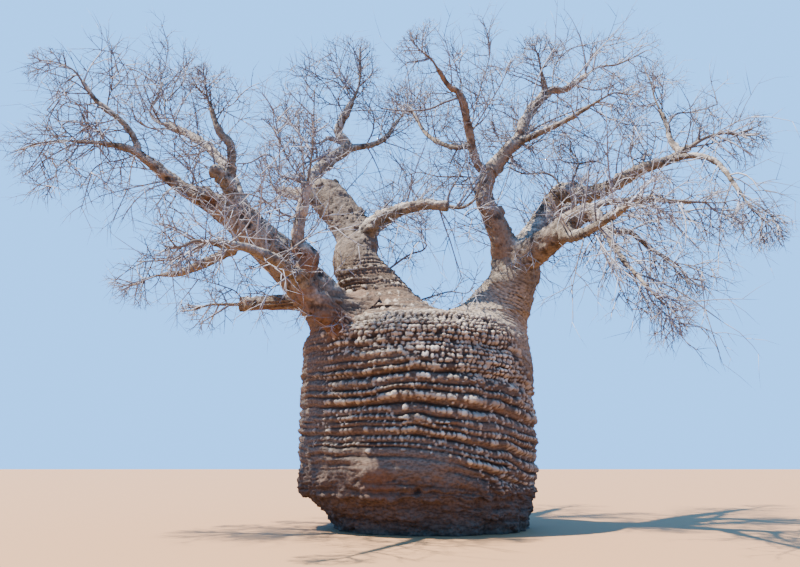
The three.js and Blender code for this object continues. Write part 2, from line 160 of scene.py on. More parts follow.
limbSizes = {
    "stumps": ("left_stem", "right_stem", "left_stub", "tall_limb", "right_arm"),
    "roundEndShare": 0.93,
    "roundEndDepth": 0.8,
    "linePoints": 49,  # on the line that distances are measured to
    # name, parent, start (a point, or a share of the parent), radius at root and tip, power of the
    # taper, runs of length, bearing and rise
    "table": [
        ("left_stem", "trunk", (-.63, .15, 2.60), .960, .300, 5.0,
         [(.55, 180, 79), (.705, 186, 59), (.47, 90, 65), (.66, 153, 60), (.63, 159, 48)]),
        ("right_stem", "trunk", (.70, 0, 2.42), .772, .339, 2.9,
         [(.56, 6, 62), (.60, -24, 57), (.32, 23, 90)]),
        ("left_arm", "trunk", (-1.19, -.45, 2.62), .368, .027, 2.0,
         [(.97, -151, 42), (1.17, -160, 40), (.36, -163, 25), (.45, -166, 26), (.68, -159, 34),
          (.43, 180, 18), (.48, 168, 11)]),
        ("left_up", "left_arm", .71, .044, .023, .6,
         [(.22, -141, 68), (.27, -163, 51), (.40, -162, 36), (.33, -153, 49)]),
        ("left_low", "left_arm", .25, .096, .028, 1.1,
         [(.38, 169, -52), (.75, 159, -17), (.38, 158, -1)]),
        ("left_shoulder", "trunk", (-1.10, .06, 2.985), .178, .091, .9, [(.70, -166, 7), (1.11, 164, 3)]),
        ("left_rise", "left_arm", .24, .122, .056, 2.6,
         [(.61, 174, 66), (.65, 137, 56), (.78, 141, 44), (.67, 146, 36), (.49, 153, 30)]),
        ("left_stub", "left_arm", .26, .114, .079, 1.0,
         [(.51, -126, 56), (.23, -123, 35), (.12, -156, 8)]),
        ("left_upright", "left_stub", .34, .060, .029, .6,
         [(.53, -79, 73), (.28, -163, 52), (.35, -158, 68)]),
        ("front_limb", "trunk", (-1.08, -.78, 2.46), .211, .054, 1.1,
         [(.66, -122, 21), (.43, -140, 45), (.31, -61, 48), (.27, -154, 54), (.72, -53, 75)]),
        ("front_left", "front_limb", .38, .083, .036, 1.4,
         [(.57, -113, 10), (.56, -117, 0), (.55, -111, -13)]),
        ("top_left", "left_stem", .89, .116, .049, .6,
         [(.56, 161, 56), (.50, 28, 57), (.40, 21, 46), (.36, 180, 65), (.58, -12, 67)]),
        ("top_left_reach", "top_left", .56, .070, .037, 1.4, [(.73, 24, 25), (.68, 39, 55)]),
        ("centre_bough", "left_stem", .57, .157, .068, 1.8,
         [(.39, -55, 29), (.35, -29, 26), (.60, -27, 4), (.37, -21, -13)]),
        ("back_left", "left_stem", .74, .196, .070, .7, [(1.13, 120, 36), (2.19, 125, 26)]),
        ("back_mid", "left_stem", .6, .206, .075, .7, [(1.15, 74, 36), (2.14, 74, 29)]),
        ("tall_limb", "right_stem", .95, .223, .110, 1.5,
         [(.27, -134, 42), (.47, -150, 64), (.36, -167, 68), (.44, 0, 77)]),
        ("tall_left", "tall_limb", .96, .081, .030, 1.5,
         [(.31, -149, 42), (.90, -122, 62), (.25, -153, 34), (.30, -140, 41)]),
        ("tall_left_side", "tall_left", .31, .040, .028, .9,
         [(.26, 151, 10), (.33, 148, 30), (.41, 136, 45), (.51, 118, 56)]),
        ("tall_right", "tall_limb", .97, .107, .039, .8,
         [(.55, 32, 52), (.47, 28, 47), (.50, 43, 64), (.79, 24, 52), (.36, 18, 20), (.67, 23, 40)]),
        ("tall_right_low", "tall_right", .27, .050, .029, 1.5, [(.80, -26, 14), (.44, -37, 15)]),
        ("tall_fan", "tall_right", .63, .061, .029, .4, [(.14, 25, 69), (.25, -114, 37)]),
        ("back_tall", "tall_limb", .9, .094, .045, .9, [(1.20, 58, 44), (1.07, 69, 37), (.94, 72, 32)]),
        ("right_arm", "right_stem", .91, .229, .079, 1.0, [(.74, -56, 14), (.59, -41, 25), (.31, -41, -42)]),
        ("right_back", "right_stem", .91, .260, .054, 1.4,
         [(.96, 54, 39), (.72, 37, 54), (.39, -35, 47), (.51, -60, -24), (.38, -41, 1), (.55, -29, 20),
          (.43, -14, 15), (.33, -19, 27)]),
        ("back_right", "right_stem", .89, .213, .075, 1.0,
         [(1.39, 65, 33), (1.49, 55, 35), (1.45, 52, 33)]),
        ("right_up", "right_back", .94, .048, .030, .8, [(.34, 120, 66), (.24, 72, 74), (.36, 134, 77)]),
        ("right_droop", "right_back", .86, .052, .025, .9,
         [(.35, -37, -4), (.30, -50, -31), (.25, -43, -55), (.53, -69, -66)]),
        ("right_mid", "right_arm", .67, .053, .022, 1.4,
         [(.25, -38, 16), (.41, -29, -3), (.35, -36, -17), (.35, -17, -11)]),
        ("right_low", "right_arm", .85, .057, .026, 1.9,
         [(.31, 22, -34), (.32, 18, 2), (.35, 29, -26), (.41, 30, -15)]),
        ("right_hang", "right_arm", .89, .051, .021, 2.1, [(.90, -82, -53), (.61, -71, -52)]),
        ("front_right", "right_arm", .44, .097, .034, 1.1, [(.74, -87, -26), (1.42, -88, -10)]),
    ],
}


def heading(bearing, rise):
    b, r = np.radians(bearing), np.radians(rise)
    return np.stack([np.cos(b) * np.cos(r), np.sin(b) * np.cos(r), np.sin(r) + 0 * b], -1)


# A smooth course through joints (Catmull-Rom, even in its joints): between joints b and c, with
# neighbours a and d, it is the cubic that leaves b along (c - a) / 2 and reaches c along (d - b) / 2.
def courseCubic(a, b, c, d, t):
    leave, reach = (c - a) / 2, (d - b) / 2
    return (2 * b - 2 * c + leave + reach) * t ** 3 + (3 * c - 3 * b - 2 * leave - reach) * t ** 2 \
        + leave * t + b


def coursePoint(joints, share):
    padded = np.vstack([2 * joints[0] - joints[1], joints, 2 * joints[-1] - joints[-2]])
    at = np.clip(np.asarray(share, float), 0, 1) * (len(joints) - 1)
    k = np.minimum(at.astype(int), len(joints) - 2)
    return courseCubic(*(padded[k + i] for i in range(4)), (at - k)[..., None])


# The same for many twigs at once: joints (twigs, joints, 3), one share for each twig.
def batchCourse(joints, share):
    before, after = 2 * joints[:, :1] - joints[:, 1:2], 2 * joints[:, -1:] - joints[:, -2:-1]
    padded = np.concatenate([before, joints, after], 1)
    last = joints.shape[1] - 1
    at = np.clip(share, 0, 1) * last
    k = np.minimum(at.astype(int), last - 1)
    rows = np.arange(len(joints))
    return courseCubic(*(padded[rows, k + i] for i in range(4)), (at - k)[:, None])


def courseTangent(joints, share):
    ahead, behind = np.minimum(share + 1e-4, 1), np.maximum(share - 1e-4, 0)
    return unit(coursePoint(joints, ahead) - coursePoint(joints, behind))


# tip + (root - tip) * (1 - t) ^ power, drawn in over the last part of a stump
def limbRadius(limb, share):
    radius = limb["tip"] + (limb["root"] - limb["tip"]) * (1 - share) ** limb["power"]
    if limb["name"] in limbSizes["stumps"]:
        drawnIn = np.clip((share - limbSizes["roundEndShare"]) / (1 - limbSizes["roundEndShare"]), 0, 1)
        radius = radius * np.sqrt(1 - limbSizes["roundEndDepth"] * drawnIn ** 2)
    return radius


limbs = {}
evenShares = np.linspace(0, 1, 401)  # where each course is measured


# Reads a limb from its row: its joints, how far it has run at each even share, and its line.
def readLimb(name, parent, start, root, tip, power, runs, slim):
    first = np.array(start) if parent == "trunk" else coursePoint(limbs[parent]["joints"], start)
    steps = np.array([length * heading(bearing, rise) for length, bearing, rise in runs])
    joints = np.vstack([first, first + np.cumsum(steps, 0)])
    pieces = np.linalg.norm(np.diff(coursePoint(joints, evenShares), axis=0), axis=1)
    limb = {"name": name, "parent": parent, "root": root, "tip": tip, "power": power, "joints": joints,
            "slim": slim, "family": limbs[parent]["family"] if slim else name,
            "along": np.concatenate([[0], np.cumsum(pieces)]), "length": pieces.cumsum()[-1]}
    coarse = shareAt(limb, np.linspace(0, limb["length"], limbSizes["linePoints"]))
    limb["line"] = coursePoint(joints, coarse)
    limb["lineRadius"] = limbRadius(limb, coarse)
    limbs[name] = limb


# The share of its joints at which a limb has run so far.
def shareAt(limb, run):
    return np.interp(run, limb["along"], evenShares)


# Slim branches that grow on from the boughs, in metres
slimSizes = {
    "tipShare": .45, "power": .8, "sides": 6, "spacing": .05, "fewestRings": 6,
    "lumps": .22, "lumpsMetre": 6,  # how uneven the radius is, and how often
    # name where another grows from it, parent, share of the parent, radius, runs as above
    "table": [
        ("", "left_arm", 1.0, .011, [(.25, -165, 40), (.17, -155, 50), (.17, -160, 40)]),
        ("", "left_up", .74, .010, [(.35, 165, 5), (.45, 165, 25)]),
        ("", "left_up", .74, .009, [(.3, -70, -65), (.3, -40, -50), (.25, -45, -50)]),
        ("", "left_up", .66, .012, [(.35, 110, 70), (.3, 70, 65), (.4, 145, 60), (.3, 90, 65)]),
        ("riseEnd", "left_rise", 1.0, .018,
         [(.33, 145, 65), (.34, 135, 70), (.4, 160, 55), (.45, 165, 40), (.3, 165, 30)]),
        ("", "riseEnd", .45, .013, [(.35, 150, 75), (.4, 60, 80), (.45, 120, 80)]),
        ("", "riseEnd", .35, .013, [(.45, 30, 60), (.4, 95, 60), (.4, 125, 50)]),
        ("", "left_rise", .95, .014, [(.3, -160, -15), (.25, -150, 15), (.2, -125, 50), (.25, -150, 40)]),
        ("", "left_upright", .82, .016, [(.25, -165, 75), (.22, -145, 80)]),
        ("", "left_upright", .88, .010, [(.2, 55, 50), (.27, 35, 50), (.25, 80, 65)]),
        ("", "left_stub", .78, .012, [(.4, -130, 70), (.25, -150, -30), (.2, -145, 30), (.2, -150, -10)]),
        ("", "left_rise", .62, .012, [(.45, -105, -60), (.4, -100, -60)]),
        ("", "left_arm", .56, .014, [(.25, 5, 25), (.17, 10, 25)]),
        ("", "left_arm", .71, .011, [(.25, -150, -35), (.25, -155, -25), (.25, -125, -60), (.25, -100, -65)]),
        ("", "left_arm", .99, .010, [(.3, -115, -70), (.22, -130, -55), (.28, -65, -65), (.2, -85, -60)]),
        ("", "left_arm", 1.0, .010, [(.3, 170, -25), (.23, 165, -25), (.2, 160, -35), (.2, 165, -20)]),
        ("", "left_arm", .83, .009, [(.28, 155, 35), (.26, 140, 55)]),
        ("", "left_arm", .63, .011, [(.35, 160, 20), (.4, 165, 10), (.3, 160, -10)]),
        ("", "left_arm", .59, .010, [(.33, -60, -55), (.26, -100, -55), (.3, -105, -60)]),
        ("", "left_low", .35, .020,
         [(.36, 160, 25), (.4, 165, 0), (.3, 155, -30), (.3, 160, 0), (.25, 160, 5)]),
        ("", "left_shoulder", .97, .012, [(.22, -130, 45), (.23, -145, 15), (.3, -155, 10), (.3, -155, 5)]),
        ("", "front_limb", .88, .014, [(.25, -155, 10), (.3, -155, 30), (.25, -155, 0), (.2, -150, -20)]),
        ("", "front_limb", .97, .013, [(.45, 145, 80), (.45, 145, 80), (.35, 135, 80)]),
        ("", "front_limb", .98, .011, [(.4, 40, 50), (.35, 50, 55)]),
        ("", "front_limb", .99, .010, [(.3, -150, 45), (.35, -145, 60), (.35, -125, 70)]),
        ("stemThin", "left_stem", 1.0, .024,
         [(.44, 175, 25), (.34, 170, 25), (.3, 150, 70), (.23, 165, 35), (.3, 170, -25), (.25, 170, 0)]),
        ("", "stemThin", .33, .012, [(.4, 110, 75), (.45, 110, 75), (.35, 130, 70)]),
        ("knobStub", "top_left", .60, .060, [(.22, -170, 32), (.20, 178, 15)]),
        ("", "knobStub", .9, .017, [(.25, -165, -35), (.25, -170, 20), (.45, -170, 55), (.3, -160, 60)]),
        ("", "top_left", 1.0, .014, [(.3, 145, 70), (.35, 165, 65), (.4, 150, 75), (.3, 160, 60)]),
        ("", "top_left", 1.0, .012, [(.4, -155, 50), (.33, -160, 10), (.23, -155, 15), (.26, -155, 10)]),
        ("", "top_left", 1.0, .012, [(.34, 30, 55), (.36, 35, 60), (.36, 155, 50), (.4, 75, 75)]),
        ("", "top_left", .98, .011, [(.34, -160, -10), (.3, -155, 25), (.23, -145, 30), (.27, -135, 50)]),
        ("", "top_left_reach", .27, .016, [(.32, -20, 65), (.3, -90, 80), (.22, -160, 55), (.26, -160, 55)]),
        ("", "top_left_reach", .64, .012, [(.32, 140, 60), (.43, 155, 55), (.4, 150, 60)]),
        ("", "top_left_reach", .35, .014, [(.15, 25, 35), (.4, 10, 30), (.37, 10, 40), (.4, 10, 45)]),
        ("", "centre_bough", .37, .014, [(.26, 25, 65), (.25, 20, 50), (.22, 30, 60), (.23, 165, 45)]),
        ("", "centre_bough", 1.0, .019, [(.21, -50, 75), (.24, -25, 55), (.33, -20, 65)]),
        ("", "centre_bough", .99, .011, [(.3, -35, -35), (.26, -45, -35), (.17, -65, 20)]),
        ("", "left_stem", .29, .016, [(.7, -15, 34), (.28, -30, 10), (.17, -70, 15), (.19, -130, 0)]),
        ("", "left_stem", .15, .013, [(.84, -14, 14), (.28, -45, 0), (.3, -45, -15), (.22, -65, 10)]),
        ("", "tall_left", .51, .019, [(.26, 155, -5), (.26, 155, -10), (.37, 165, 5), (.4, 165, 15)]),
        ("", "tall_left", .35, .013, [(.52, 55, 70), (.6, 45, 70), (.6, 40, 70), (.5, 70, 70)]),
        ("", "tall_left", .35, .012, [(.44, -25, 55), (.4, -25, 55), (.43, -30, 60)]),
        ("", "tall_left", .47, .010, [(.37, 90, 80), (.4, 105, 80), (.3, 25, 70)]),
        ("", "tall_left_side", .10, .012, [(.25, 155, 30), (.22, 130, 55), (.33, 130, 65)]),
        ("", "tall_limb", .92, .014, [(.4, 160, 15), (.36, 160, 10), (.37, 160, 20), (.25, 150, -5)]),
        ("", "tall_right", .67, .016, [(.34, -155, 70), (.4, -145, 80), (.3, -170, 10)]),
        ("", "tall_right", .71, .016, [(.54, 50, 75), (.46, 25, 55), (.34, 30, 40), (.33, 25, 25)]),
        ("", "tall_right", .98, .013, [(.33, -45, 65), (.28, -25, 40), (.28, -30, 40)]),
        ("", "tall_right", .90, .014, [(.36, -10, -25), (.3, -10, 10), (.27, -10, 30)]),
        ("", "tall_right", .34, .017, [(.42, -25, 22), (.48, -20, 15), (.3, -30, 0), (.38, -25, -10)]),
        ("", "tall_right", .31, .012, [(.3, -30, -45), (.25, -60, -65)]),
        ("", "tall_right", .20, .012, [(.3, 120, 55), (.3, 115, 60), (.32, 105, 60)]),
        ("", "right_back", .38, .024, [(.3, 165, 70), (.22, 175, 30), (.33, 175, 0), (.3, 175, 30)]),
        ("crestUp", "right_back", .41, .020, [(.6, 12, 67), (.28, 145, 70), (.3, 85, 80)]),
        ("", "crestUp", .33, .015, [(.3, -25, -5), (.25, -30, -40)]),
        ("", "crestUp", .33, .015, [(.28, 165, 20), (.25, 145, 65), (.2, 80, 75)]),
        ("", "right_back", .73, .014, [(.4, 105, 80), (.36, 30, 70), (.3, 70, 80)]),
        ("", "right_back", .75, .024, [(.19, -20, 70), (.13, -30, 70)]),
        ("", "right_back", .78, .012, [(.45, 30, 65), (.33, 45, 65), (.3, 120, 65)]),
        ("", "right_up", .71, .017, [(.23, -20, 50), (.2, -15, 0), (.23, -10, 10), (.2, -15, 15)]),
        ("", "right_up", .91, .011, [(.4, 55, 70), (.34, 75, 70), (.35, 35, 60)]),
        ("", "right_back", 1.0, .014, [(.43, -15, 5), (.22, -30, 10), (.22, -30, 10)]),
        ("", "right_back", 1.0, .012, [(.45, 20, 42), (.23, 25, 10), (.2, 30, -15)]),
        ("", "right_arm", .84, .018, [(.23, -35, 42), (.35, -15, 0), (.14, -60, 35), (.15, -65, 40)]),
        ("", "right_mid", .77, .011, [(.3, -20, -10), (.33, -15, -10), (.2, -30, 0)]),
        ("", "right_arm", .85, .014, [(.35, -20, 5), (.3, -25, -20), (.27, -25, 0), (.26, -30, -15)]),
        ("", "right_low", .80, .012, [(.3, -20, -40), (.23, -20, -20), (.27, -20, -20)]),
        ("", "right_low", .50, .010, [(.36, -25, -45), (.33, -115, -70), (.28, -50, -60)]),
        ("", "right_hang", .10, .011, [(.36, -125, -78), (.32, -30, -65), (.3, -65, -75), (.3, -30, -70)]),
        ("", "right_hang", .96, .010, [(.22, 45, -50), (.28, 25, -35), (.25, 25, -30)]),
        ("", "right_droop", 1.0, .010, [(.3, -30, -50), (.22, -55, -55), (.24, -70, -65)]),
        ("", "right_droop", 1.0, .010, [(.32, -45, -70), (.24, -90, -70), (.3, -115, -70)]),
    ],
}


for row in limbSizes["table"]:
    readLimb(*row, False)
for number, (name, parent, share, radius, runs) in enumerate(slimSizes["table"]):
    readLimb(name or "slim_%d" % number, parent, share, radius, slimSizes["tipShare"] * radius,
             slimSizes["power"], runs, True)
print("limbs read:", len(limbs))


# The wood as distances, so that each limb can flare into the one that carries it

trunkSizes = {
    "width": 3.28, "depth": 2.90,
    # height, sideways shift, share of the width
    "rings": [(0, 0, .79), (.12, -.03, .82), (.24, -.08, .865), (.36, -.13, .90), (.47, -.185, .972),
              (.92, -.19, 1), (1.97, -.19, 1), (2.37, -.205, .985), (2.59, -.19, .93),
              (2.70, -.12, .79), (2.79, .04, .55), (2.88, .24, .22), (2.90, .30, .0)],
    "samples": 3000, "outline": .01,  # points on the profile, and spacing of those that stay
    "grid": .0125,  # spacing of the mesh
    "bands": 4,
    "overlap": 4,  # rows that a band runs on under the next
}


# The trunk's side profile: height, shift and share of the width, spaced evenly along its outline.
def trunkProfile(spacing):
    rings = np.array(trunkSizes["rings"], float)
    dense = coursePoint(rings, np.linspace(0, 1, trunkSizes["samples"]))
    dense[:, 0] = np.maximum.accumulate(dense[:, 0])
    run = np.hypot(np.diff(dense[:, 0]), np.diff(dense[:, 2]) * trunkSizes["width"] / 2)
    along = np.concatenate([[0], np.cumsum(run)])
    even = np.linspace(0, along[-1], int(along[-1] / spacing) + 1)
    return even, np.stack([np.interp(even, along, dense[:, i]) for i in range(3)], 1)


bodyAlong, bodyProfile = trunkProfile(trunkSizes["outline"])
bodySlope = np.gradient(bodyProfile[:, 2] * trunkSizes["width"] / 2, bodyProfile[:, 0] + 1e-9 * bodyAlong)
farAway = 1e9


# Distance to the trunk's body: how far out of its oval section, cut down where the dome lies flat.
def bodyDistance(points):
    height = np.clip(points[:, 2], 0, bodyProfile[-1, 0] - .01)
    columns = (bodyProfile[:, 1], bodyProfile[:, 2], bodySlope)
    shift, share, slope = (np.interp(height, bodyProfile[:, 0], column) for column in columns)
    share = np.maximum(share, .02)
    across, deep = share * trunkSizes["width"] / 2, share * trunkSizes["depth"] / 2
    out = np.hypot((points[:, 0] - shift) / across, points[:, 1] / deep)
    over = np.maximum(points[:, 2] - height, 0)
    return (out - 1) * (across + deep) / 2 / np.sqrt(1 + slope ** 2) + over


# Distance to a limb: to its course, less its radius at the nearest point of it.
def limbDistance(limb, points):
    line, radius = limb["line"], limb["lineRadius"]
    step = np.diff(line, axis=0)
    nearest = np.full(len(points), farAway)
    lot = 20000  # points at a time, to spare memory
    for begin in range(0, len(points), lot):
        some = points[begin:begin + lot]
        from0 = some[:, None, :] - line[None, :-1, :]
        share = np.clip((from0 * step).sum(-1) / (step * step).sum(-1), 0, 1)
        gaps = np.linalg.norm(from0 - share[..., None] * step, axis=-1)
        gaps = gaps - (radius[:-1] + (radius[1:] - radius[:-1]) * share)
        nearest[begin:begin + lot] = gaps.min(1)
    return nearest


# The smaller of two distances, rounded off over a width: min(a, b) - h^2 width / 4, where h falls
# from 1 where they are equal to 0 where they differ by the width.
def blendedLeast(a, b, width):
    h = np.maximum(width - np.abs(a - b), 0) / width
    return np.minimum(a, b) - h * h * width / 4


# Meshes from grids

# Adds a mesh object from points, quads and triangles, smooth shaded, with named numbers a point.
def addMesh(name, points, quads, triangles, numbers, materials, picks=None):
    mesh = bpy.data.meshes.new(name)
    corners = np.concatenate([quads.ravel(), triangles.ravel()]).astype(np.int32)
    starts = np.concatenate([np.arange(len(quads)) * 4, len(quads) * 4 + np.arange(len(triangles)) * 3])
    mesh.vertices.add(len(points))
    mesh.vertices.foreach_set("co", points.astype(np.float32).ravel())
    mesh.loops.add(len(corners))
    mesh.loops.foreach_set("vertex_index", corners)
    mesh.polygons.add(len(starts))
    mesh.polygons.foreach_set("loop_start", starts.astype(np.int32))
    for key, values in numbers.items():
        layer = mesh.attributes.new(key, "FLOAT", "POINT")
        layer.data.foreach_set("value", values.astype(np.float32).ravel())
    for material in materials:
        mesh.materials.append(material)
    if picks is not None:
        mesh.polygons.foreach_set("material_index", picks.astype(np.int32))
    mesh.update(calc_edges=True)
    mesh.shade_smooth()
    piece = bpy.data.objects.new(name, mesh)
    bpy.context.scene.collection.objects.link(piece)
    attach(piece, "root")
    return piece


# A closed tube from rows of rings (rows, columns, 3): quads between rings, a fan over each end.
def tubeFaces(grid, numbers):
    rows, columns = grid.shape[:2]
    index = np.arange(rows * columns).reshape(rows, columns)
    turned = np.roll(index, -1, 1)
    quads = np.stack([index[:-1], turned[:-1], turned[1:], index[1:]], -1).reshape(-1, 4)
    low, high = rows * columns, rows * columns + 1
    fans = np.concatenate([
        np.stack([turned[0], index[0], np.full(columns, low)], 1),
        np.stack([index[-1], turned[-1], np.full(columns, high)], 1),
    ])
    points = np.vstack([grid.reshape(-1, 3), grid[0].mean(0), grid[-1].mean(0)])
    full = {key: np.concatenate([v.ravel(), [v[0].mean(), v[-1].mean()]]) for key, v in numbers.items()}
    return points, quads, fans, full


# Joins tubes into one set of points, quads and triangles, and strings together what else they carry.
def joinTubes(parts):
    points, quads, triangles, *others = zip(*parts)
    bases = np.cumsum([0] + [len(some) for some in points[:-1]])
    return (np.vstack(points), np.vstack([some + base for some, base in zip(quads, bases)]),
            np.vstack([some + base for some, base in zip(triangles, bases)]), *map(np.concatenate, others))


# Outward normals of a grid that closes on itself in columns: the cross product of its two slopes.
def gridNormals(grid):
    around = np.roll(grid, -1, 1) - np.roll(grid, 1, 1)
    along = np.gradient(grid, axis=0)
    return unit(np.cross(around, along))


# Bark

ledges = {
    # the source's main ledges: between two heights, how many, how far a crease lies in from the brows
    "from": .47, "to": 2.59, "count": 6, "depth": .060,
    "shape": [(0, 1), (.16, .35), (.42, 0), (.75, .22), (1, 1)],
    "dive": .20, "diveFrom": -.15, "diveBend": .30, "diveGrows": (.25, .90), "diveFades": (1.2, 2.5),
    "ends": (.06, .10),  # in ledges: an inset starts so far outside its end, and is whole so far inside
    "inset": .8,  # share of the source's creases that this bark keeps
    # the finer ones in each, their own depth, and how far they droop over the crease under them
    "mains": (-3, 28), "fewest": 2, "most": 5, "narrowest": .45, "fineDepth": .040, "sag": .38,
    "creaseWidth": .010, "browPower": 1.8, "browEdge": 2.2,
    "strength": (.10, 1.35),  # of the faintest and the strongest
    "secondSet": 40,  # added to the seed
    "wander": .065, "wanderFine": .022,
    "footDive": .08,  # how much more the fine ones dive on the lower right
    "rightDive": .25,  # and right of the middle
    "groove": .020, "stemShare": .16,
    "sunk": .018,  # how far the bark's middle lies in, so that its knobs reach the source's surface
    "seed": 11,
}
knobs = {
    "across": .064, "radius": .0280, "spread": .24, "jitter": .32,  # spacing along a ledge, size
    "on": .64, "stemShare": .15,  # how far up a ledge they sit, and how many grow on stems
    "pebble": .059, "pebbleRadius": .0275, "pebbleJitter": .58, "pebblesKept": .98,
    "small": .044, "smallRadius": .0180, "smallJitter": .8,
    "stray": .045,  # how far rows of pebbles stray
    "sunk": .024,  # how far the wood between pebbles lies in
    "seed": 23,
}
wrinkles = {
    "pitch": .056, "height": .040, "wobble": .85, "strength": .75, "seed": 301,
    # where knobs end on the right: height, and how far right of the middle
    "edge": [(1.60, 1.42), (1.95, 1.20), (2.50, .98), (2.75, .62), (2.95, .30)],
    "dive": 1.15, "diveFrom": 1.0,  # how steeply wrinkles run down the right side, and from where
}
footWood = {
    "pitch": .066, "height": .020, "wobble": 1.5, "strength": .35, "seed": 351,
    "lumps": .042, "crumbs": .013, "swells": .050,
    "bulgeAt": .76, "bulgeHalf": .11, "bulge": .052,  # the broad smooth roll over the scar
}
# Where each kind of bark lies: each pair says where it is nothing, and where it is whole
zones = {
    "foot": (.92, .50),  # height
    "rightEdge": (-.12, .12), "rightFrom": (1.35, 1.8),  # out from the wrinkles' edge, and height
    "left": (-1.05, -1.40), "leftTop": (3.0, 2.6),  # sideways, and height
    "pebbleFoot": (-.12, .16), "pebbleLine": (2.25, .30, -1.1),  # over a line that sinks to the right
    "pebbleTop": (3.10, 2.70), "pebbleTopOnStems": (2.82, 2.52),
    "bulgeLeft": (-1.25, -.85), "bulgeRight": (.45, .0),
    # how much each of them calms the source's creases, and the fine ledges
    "calmInset": {"left": .4, "right": .3, "bulge": .9},
    "calmLedges": {"foot": .70, "right": .80, "pebbly": .50, "left": .45, "bulge": .9},
}
# Unevenness all over: how many a metre across and up, seed, octaves; and how high each is
unevenness = {
    "long": (3.0, 30, 5, 2), "lumps": (8, 10, 6, 3), "crumbs": (24, 30, 13, 2), "fibres": (26, 4, 12, 2),
    "swells": (3.6, 5.5, 15, 2), "sway": (.8, .8, 7, 1),
}
heights = {"long": .008, "lumps": .015, "crumbs": .0085, "fibres": .012, "sway": .028}
marks = {
    # place, radius, height (below 0: a hollow), height of its rim, how red its wood shows
    "scar": ((-.70, -1.42, .56), .22, .024, .020, .55),
    "lowHollow": ((-.225, -1.43, .494), .055, -.07, .014, 0.2),
    "lowHole": ((-.144, -1.35, .285), .03, -.06, .004, 0.0),
    "rightHollow": ((.699, -1.2, .518), .11, -.09, .02, 0.0),
    "rightFold": ((.95, -1.08, .60), .10, -.05, .02, 0.0),
    "leftLip": ((-1.759, -.35, .50), .12, .045, .0, 0.0),
    "armHollow": ((-2.941, -1.36, 4.12), .12, -.10, .035, .85),
    "armTop": ((-3.02, -1.25, 4.33), .17, .055, .0, .0),
    "armTopTwo": ((-2.72, -1.22, 4.20), .13, .05, .0, .0),
    "shoulderEnd": ((-2.84, .12, 3.12), .12, -.05, .02, .15),
    "ringHole": ((-1.668, -1.86, 3.247), .075, -.09, .035, .3),
    "frontKnot": ((-1.568, -2.0, 4.147), .07, .045, .0, .5),
    "topKnob": ((-1.475, .74, 6.234), .12, .06, .0, .1),
    "armBurr": ((1.731, -1.05, 3.69), .15, .07, .03, .1),
    "stubEnd": ((2.187, -1.3, 3.815), .08, -.04, .02, .0),
    "burl": ((1.384, -.56, 3.48), .16, .075, .0, .0),
    "burlHollow": ((1.384, -.66, 3.47), .06, -.06, .025, .2),
    "stubLow": ((1.01, -.52, 4.975), .08, .06, .0, .2),
    "sharpKnob": ((1.473, -.1, 5.854), .06, .07, .0, .2),
    "hubKnob": ((1.42, -.3, 4.22), .14, .06, .02, .1),
    "saddleCollar": ((.93, -.35, 3.34), .16, .07, .0, .0),
}
ledgePitch = (ledges["to"] - ledges["from"]) / ledges["count"]


# The larger of a value and 0, rounded off: (v + sqrt(v^2 + bend^2)) / 2.
def softRamp(value, bend):
    return (value + np.sqrt(value * value + bend * bend)) / 2


# The source's dive: dive * (x - diveFrom) right of it, growing and fading with the height.
def diveAt(x, level):
    steepness = smoothStep(*ledges["diveGrows"], level) * (1 - smoothStep(*ledges["diveFades"], level))
    return ledges["dive"] * softRamp(x - ledges["diveFrom"], ledges["diveBend"]) * steepness


# How far the surface lies in from the brows of the source's main ledges, at a level.
def mainInset(level):
    ledge, count = (level - ledges["from"]) / ledgePitch, ledges["count"]
    outside, inside = ledges["ends"]
    ends = smoothStep(-outside, inside, ledge) * smoothStep(count + outside, count - inside, ledge)
    shares, drawnIn = zip(*ledges["shape"])
    return ledges["depth"] * np.interp(ledge - np.floor(ledge), shares, drawnIn) * ends


# Fine ledges: each main one is shared out by chance among a few. Each swells to a brow two thirds of
# the way up, 1 - |2 share^1.8 - 1|^2.2, and the crease lies between one and the next.
def ledgeRows(grid, level, seed):
    x, y = grid[..., 0], grid[..., 1]
    edges = []
    for main in range(*ledges["mains"]):
        count = ledges["fewest"] + int((ledges["most"] - ledges["fewest"]) * chance(seed, main, 4))
        widths = ledges["narrowest"] + chance(seed, main, np.arange(5, 5 + count))
        starts = np.concatenate([[0], np.cumsum(widths)[:-1]]) / widths.sum()
        edges.append(ledges["from"] + ledgePitch * (main + starts))
    edges = np.concatenate(edges)
    row = np.clip(np.searchsorted(edges, level) - 1, 0, len(edges) - 2)
    width = edges[row + 1] - edges[row]
    share = np.clip((level - edges[row]) / width, 0, 1)
    strength = .66 + .5 * noise(x * 1.3, y * 1.3, row * 1.7, seed + 2)
    strength = strength + .35 * noise(x * .5, y * .5, row * 3.1, seed + 3)
    strength = np.clip(strength, *ledges["strength"]) * (.5 + .9 * chance(seed, row, 9))
    brow = 1 - np.abs(2 * share ** ledges["browPower"] - 1) ** ledges["browEdge"]
    gap = np.minimum(share, 1 - share) * width
    # the crease mask both cuts a groove and is painted dark later, as shade in the crease
    crease = np.exp(-(gap / ledges["creaseWidth"]) ** 2) * np.clip(strength * 1.5, 0, 1.2)
    return {"row": row.astype(float), "share": share, "width": width, "crease": crease,
            "roll": strength * np.clip(width / .10, .5, 1.4) * (brow - .35)}


